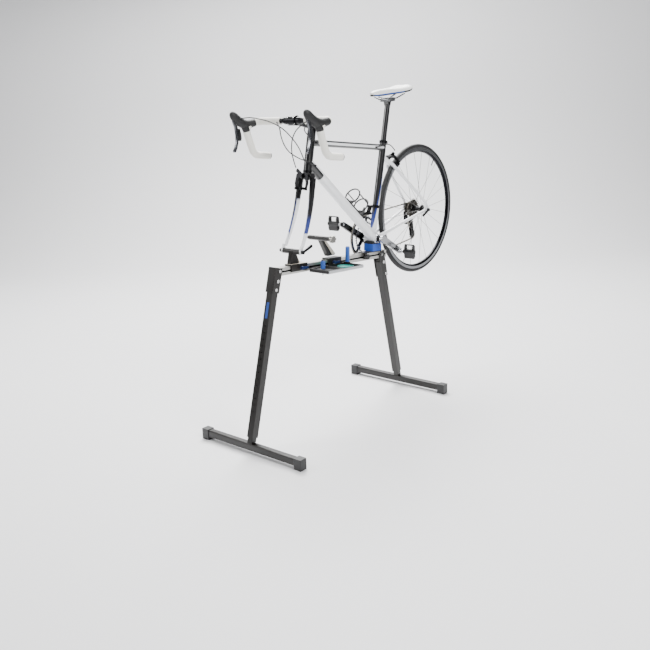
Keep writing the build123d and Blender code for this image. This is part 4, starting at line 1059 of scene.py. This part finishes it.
@dataclass
class Beam:
    """Beam with the holders, cradle and tray that it carries."""

    def build(self) -> None:
        """Finish the beam's nodes."""
        # Painted shade: the faces inside the beam's side slot get the dark metal to stand for the shade in
        # the recess.
        slot_painted_shade = (lambda c: 0.009 < abs(c.y) < 0.0173 and abs(self.height(c)) < 0.0072, Metals.dark)
        softened("beam", Metals.beam, 0.6, [(lambda c: c.x > 0.191, Plastics.black), slot_painted_shade])
        pale = (lambda c: abs(c.y) < 0.0045 and c.x > -0.482 and c.z > 0.782, Stands.gusset)
        softened("fork_holder", Stands.coat, 0.8, [pale])
        softened("rear_holder", Stands.coat, 0.8)
        softened("fork_holder_lever", Metals.dark, 0.8)
        self.strut()
        softened("rear_holder_knob", Metals.knob, 0.8)
        for name in ("front_clamp_lever", "rear_clamp_lever"):
            softened(name, Plastics.navy, 1.5)
        softened("cradle", Plastics.blue, 1.5, [(lambda c: self.height(c) > 0.0576, Plastics.rubber),
                                                (lambda c: self.height(c) < 0.0226, Stands.coat)])
        softened("cradle_knob", Plastics.black, 1.0)

    def strut(self) -> None:
        """Pale plate on the near side of the rear holder's slanted arm."""
        work = bmesh.new()
        outline = [(-0.2895, 0.871), (-0.2825, 0.8765), (-0.2045, 0.7905), (-0.2285, 0.7905)]
        rows = [[work.verts.new((x, y, z)) for x, z in outline] for y in (-0.0108, -0.0138)]
        wall(work, *rows)
        for row in rows:
            work.faces.new(row)
        piece = mesh_piece("rear_holder_plate", work, Stands.gusset, "stand_and_frame")

    @staticmethod
    def height(c: Vector) -> float:
        """Height above the beam's middle line, square to the beam.

        Args:
            c: A face's centre.

        Returns:
            The height in metres.
        """
        slope = math.radians(3.18)
        return (c.x - 0.1015) * math.sin(slope) + (c.z - 0.73353) * math.cos(slope)


@dataclass
class Tray:
    """Tool tray with its dish and tools."""

    dish_x: float = -0.2234
    dish_y: float = -0.088

    def on_dish(self, c: Vector) -> bool:
        """True on the round dish.

        Args:
            c: A face's centre.

        Returns:
            Whether it is on the dish.
        """
        near = math.hypot(c.x - self.dish_x, c.y - self.dish_y) < 0.0388
        return near and -0.0155 < Beam.height(c) < -0.0075

    def build(self) -> None:
        """Finish the tray and its tools."""
        softened("tray", Plastics.black, 0.6, [(lambda c: c.y < -0.1419, Metals.silver),
                                               (self.on_dish, Plastics.teal)])
        shank = (lambda c: Beam.height(c) < -0.009, Metals.steel)
        softened("screwdriver_rear", Plastics.handle, 1.5, [shank])
        softened("screwdriver_front", Plastics.handle, 1.5,
                 [shank, (lambda c: Beam.height(c) > 0.029, Plastics.rubber)])


@dataclass
class Legs:
    """Both legs with their brackets, feet and label."""

    def build(self) -> None:
        """Finish the legs."""
        for name in ("front", "rear"):
            softened(f"{name}_leg_tube", Stands.coat, 1.2)
            softened(f"{name}_foot", Stands.coat, 1.5, [(lambda c: abs(c.y) > 0.2619, Plastics.black)])
        softened("leg_brackets", Stands.coat, 0.8, [(lambda c: abs(c.y) > 0.0217, Metals.bolt)])
        self.label()

    def label(self) -> None:
        """Plain blue label on the front leg's outer face."""
        lean = math.radians(15.7)
        down = Vector((-math.sin(lean), 0, -math.cos(lean)))
        out = Vector((-math.cos(lean), 0, math.sin(lean)))
        pin = Vector((-0.6135, 0, 0.736))
        work = bmesh.new()
        first, last = 0.095, 0.165
        corners = [pin + down * s + out * 0.01725 + Vector((0, y, 0)) for s, y in
                   ((first, -0.007), (first, 0.007), (last, 0.007), (last, -0.007))]
        lower = [work.verts.new(p) for p in corners]
        upper = [work.verts.new(p + out * 0.0003) for p in corners]
        wall(work, lower, upper)
        work.faces.new(upper)
        work.faces.new(list(reversed(lower)))
        piece = mesh_piece("leg_label", work, Plastics.label, "front_leg")


# ------------------------------------------------------------------ stage

@dataclass
class Studio:
    """Pale floor, soft light and the camera."""

    place: Point = (-3.0765, -2.373, 1.469)
    yaw: float = 40.344
    pitch: float = 15.383
    roll: float = -2.028
    lens: float = 44.615

    def build(self) -> None:
        """Make the floor, lights and camera."""
        self.floor()
        self.light("key_light", (-1.2, -3.4, 3.8), 1.6, 290)
        self.light("side_light", (-3.6, 2.4, 3.0), 1.6, 120)
        self.light("wall_light", (1.7, 1.9, 4.6), 3.4, 1000)
        world = bpy.data.worlds.new("studio_world")
        world.use_nodes = True
        world.node_tree.nodes["Background"].inputs[0].default_value = linear("#e8ebf2")
        world.node_tree.nodes["Background"].inputs[1].default_value = 0.16
        bpy.context.scene.world = world
        self.camera()

    def floor(self) -> None:
        """Plain pale floor that curves up into a wall behind."""
        work = bmesh.new()
        away = Vector((math.cos(math.radians(40)), math.sin(math.radians(40)), 0))
        across = Vector((-away.y, away.x, 0))
        profile = [(-14.0, 0.0), (3.4, 0.0)]
        profile += [(3.4 + 1.6 * math.sin(t), 1.6 - 1.6 * math.cos(t))
                    for t in (math.radians(9 * i) for i in range(1, 11))] + [(5.0, 9.0)]
        rows = [[work.verts.new(away * along + across * side + Vector((0, 0, up))) for side in (-16, 16)]
                for along, up in profile]
        for low, high in zip(rows, rows[1:]):
            work.faces.new((low[0], low[1], high[1], high[0]))
        mesh = bpy.data.meshes.new("floor")
        for face in work.faces:
            face.smooth = True
        work.to_mesh(mesh)
        work.free()
        mesh.materials.append(Finish("floor_painted_pale", "#dededf", 0.6).material())
        floor = bpy.data.objects.new("floor", mesh)
        bpy.context.scene.collection.objects.link(floor)

    def light(self, name: str, place: Point, size: float, power: float) -> None:
        """Add one soft light aimed at the object.

        Args:
            name: The light's name.
            place: Where it is, in metres.
            size: Its side, in metres.
            power: Its power, in watts.
        """
        data = bpy.data.lights.new(name, "AREA")
        data.shape, data.size, data.energy = "SQUARE", size, power
        lamp = bpy.data.objects.new(name, data)
        lamp.location = place
        lamp.rotation_euler = (Vector((0, 0, 0.8)) - Vector(place)).to_track_quat("-Z", "Y").to_euler()
        bpy.context.scene.collection.objects.link(lamp)

    def camera(self) -> None:
        """Camera at its fitted place and angle."""
        yaw, pitch, roll = (math.radians(a) for a in (self.yaw, self.pitch, self.roll))
        look = Vector((math.cos(pitch) * math.cos(yaw), math.cos(pitch) * math.sin(yaw), -math.sin(pitch)))
        level = Vector((math.sin(yaw), -math.cos(yaw), 0))
        over = level.cross(look)
        right = level * math.cos(roll) + over * math.sin(roll)
        up = over * math.cos(roll) - level * math.sin(roll)
        data = bpy.data.cameras.new("camera")
        data.lens, data.sensor_width = self.lens, 36.0
        camera = bpy.data.objects.new("camera", data)
        turn = Matrix((right, up, -look)).transposed().to_4x4()
        camera.matrix_world = Matrix.Translation(self.place) @ turn
        bpy.context.scene.collection.objects.link(camera)
        bpy.context.scene.camera = camera


def main() -> None:
    """Build every sub-assembly and report each."""
    logging.basicConfig(level=logging.INFO, format="%(message)s")
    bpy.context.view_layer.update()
    for part in (PaintedFrame(), Saddle(SaddleSize()), Cockpit(GripSize()), Cables(), Drive(),
                 RearWheel(), Brakes(), Beam(), Tray(), Legs(), Studio()):
        part.build()
        LOG.info("built %s", type(part).__name__)


if __name__ == "__main__":
    main()
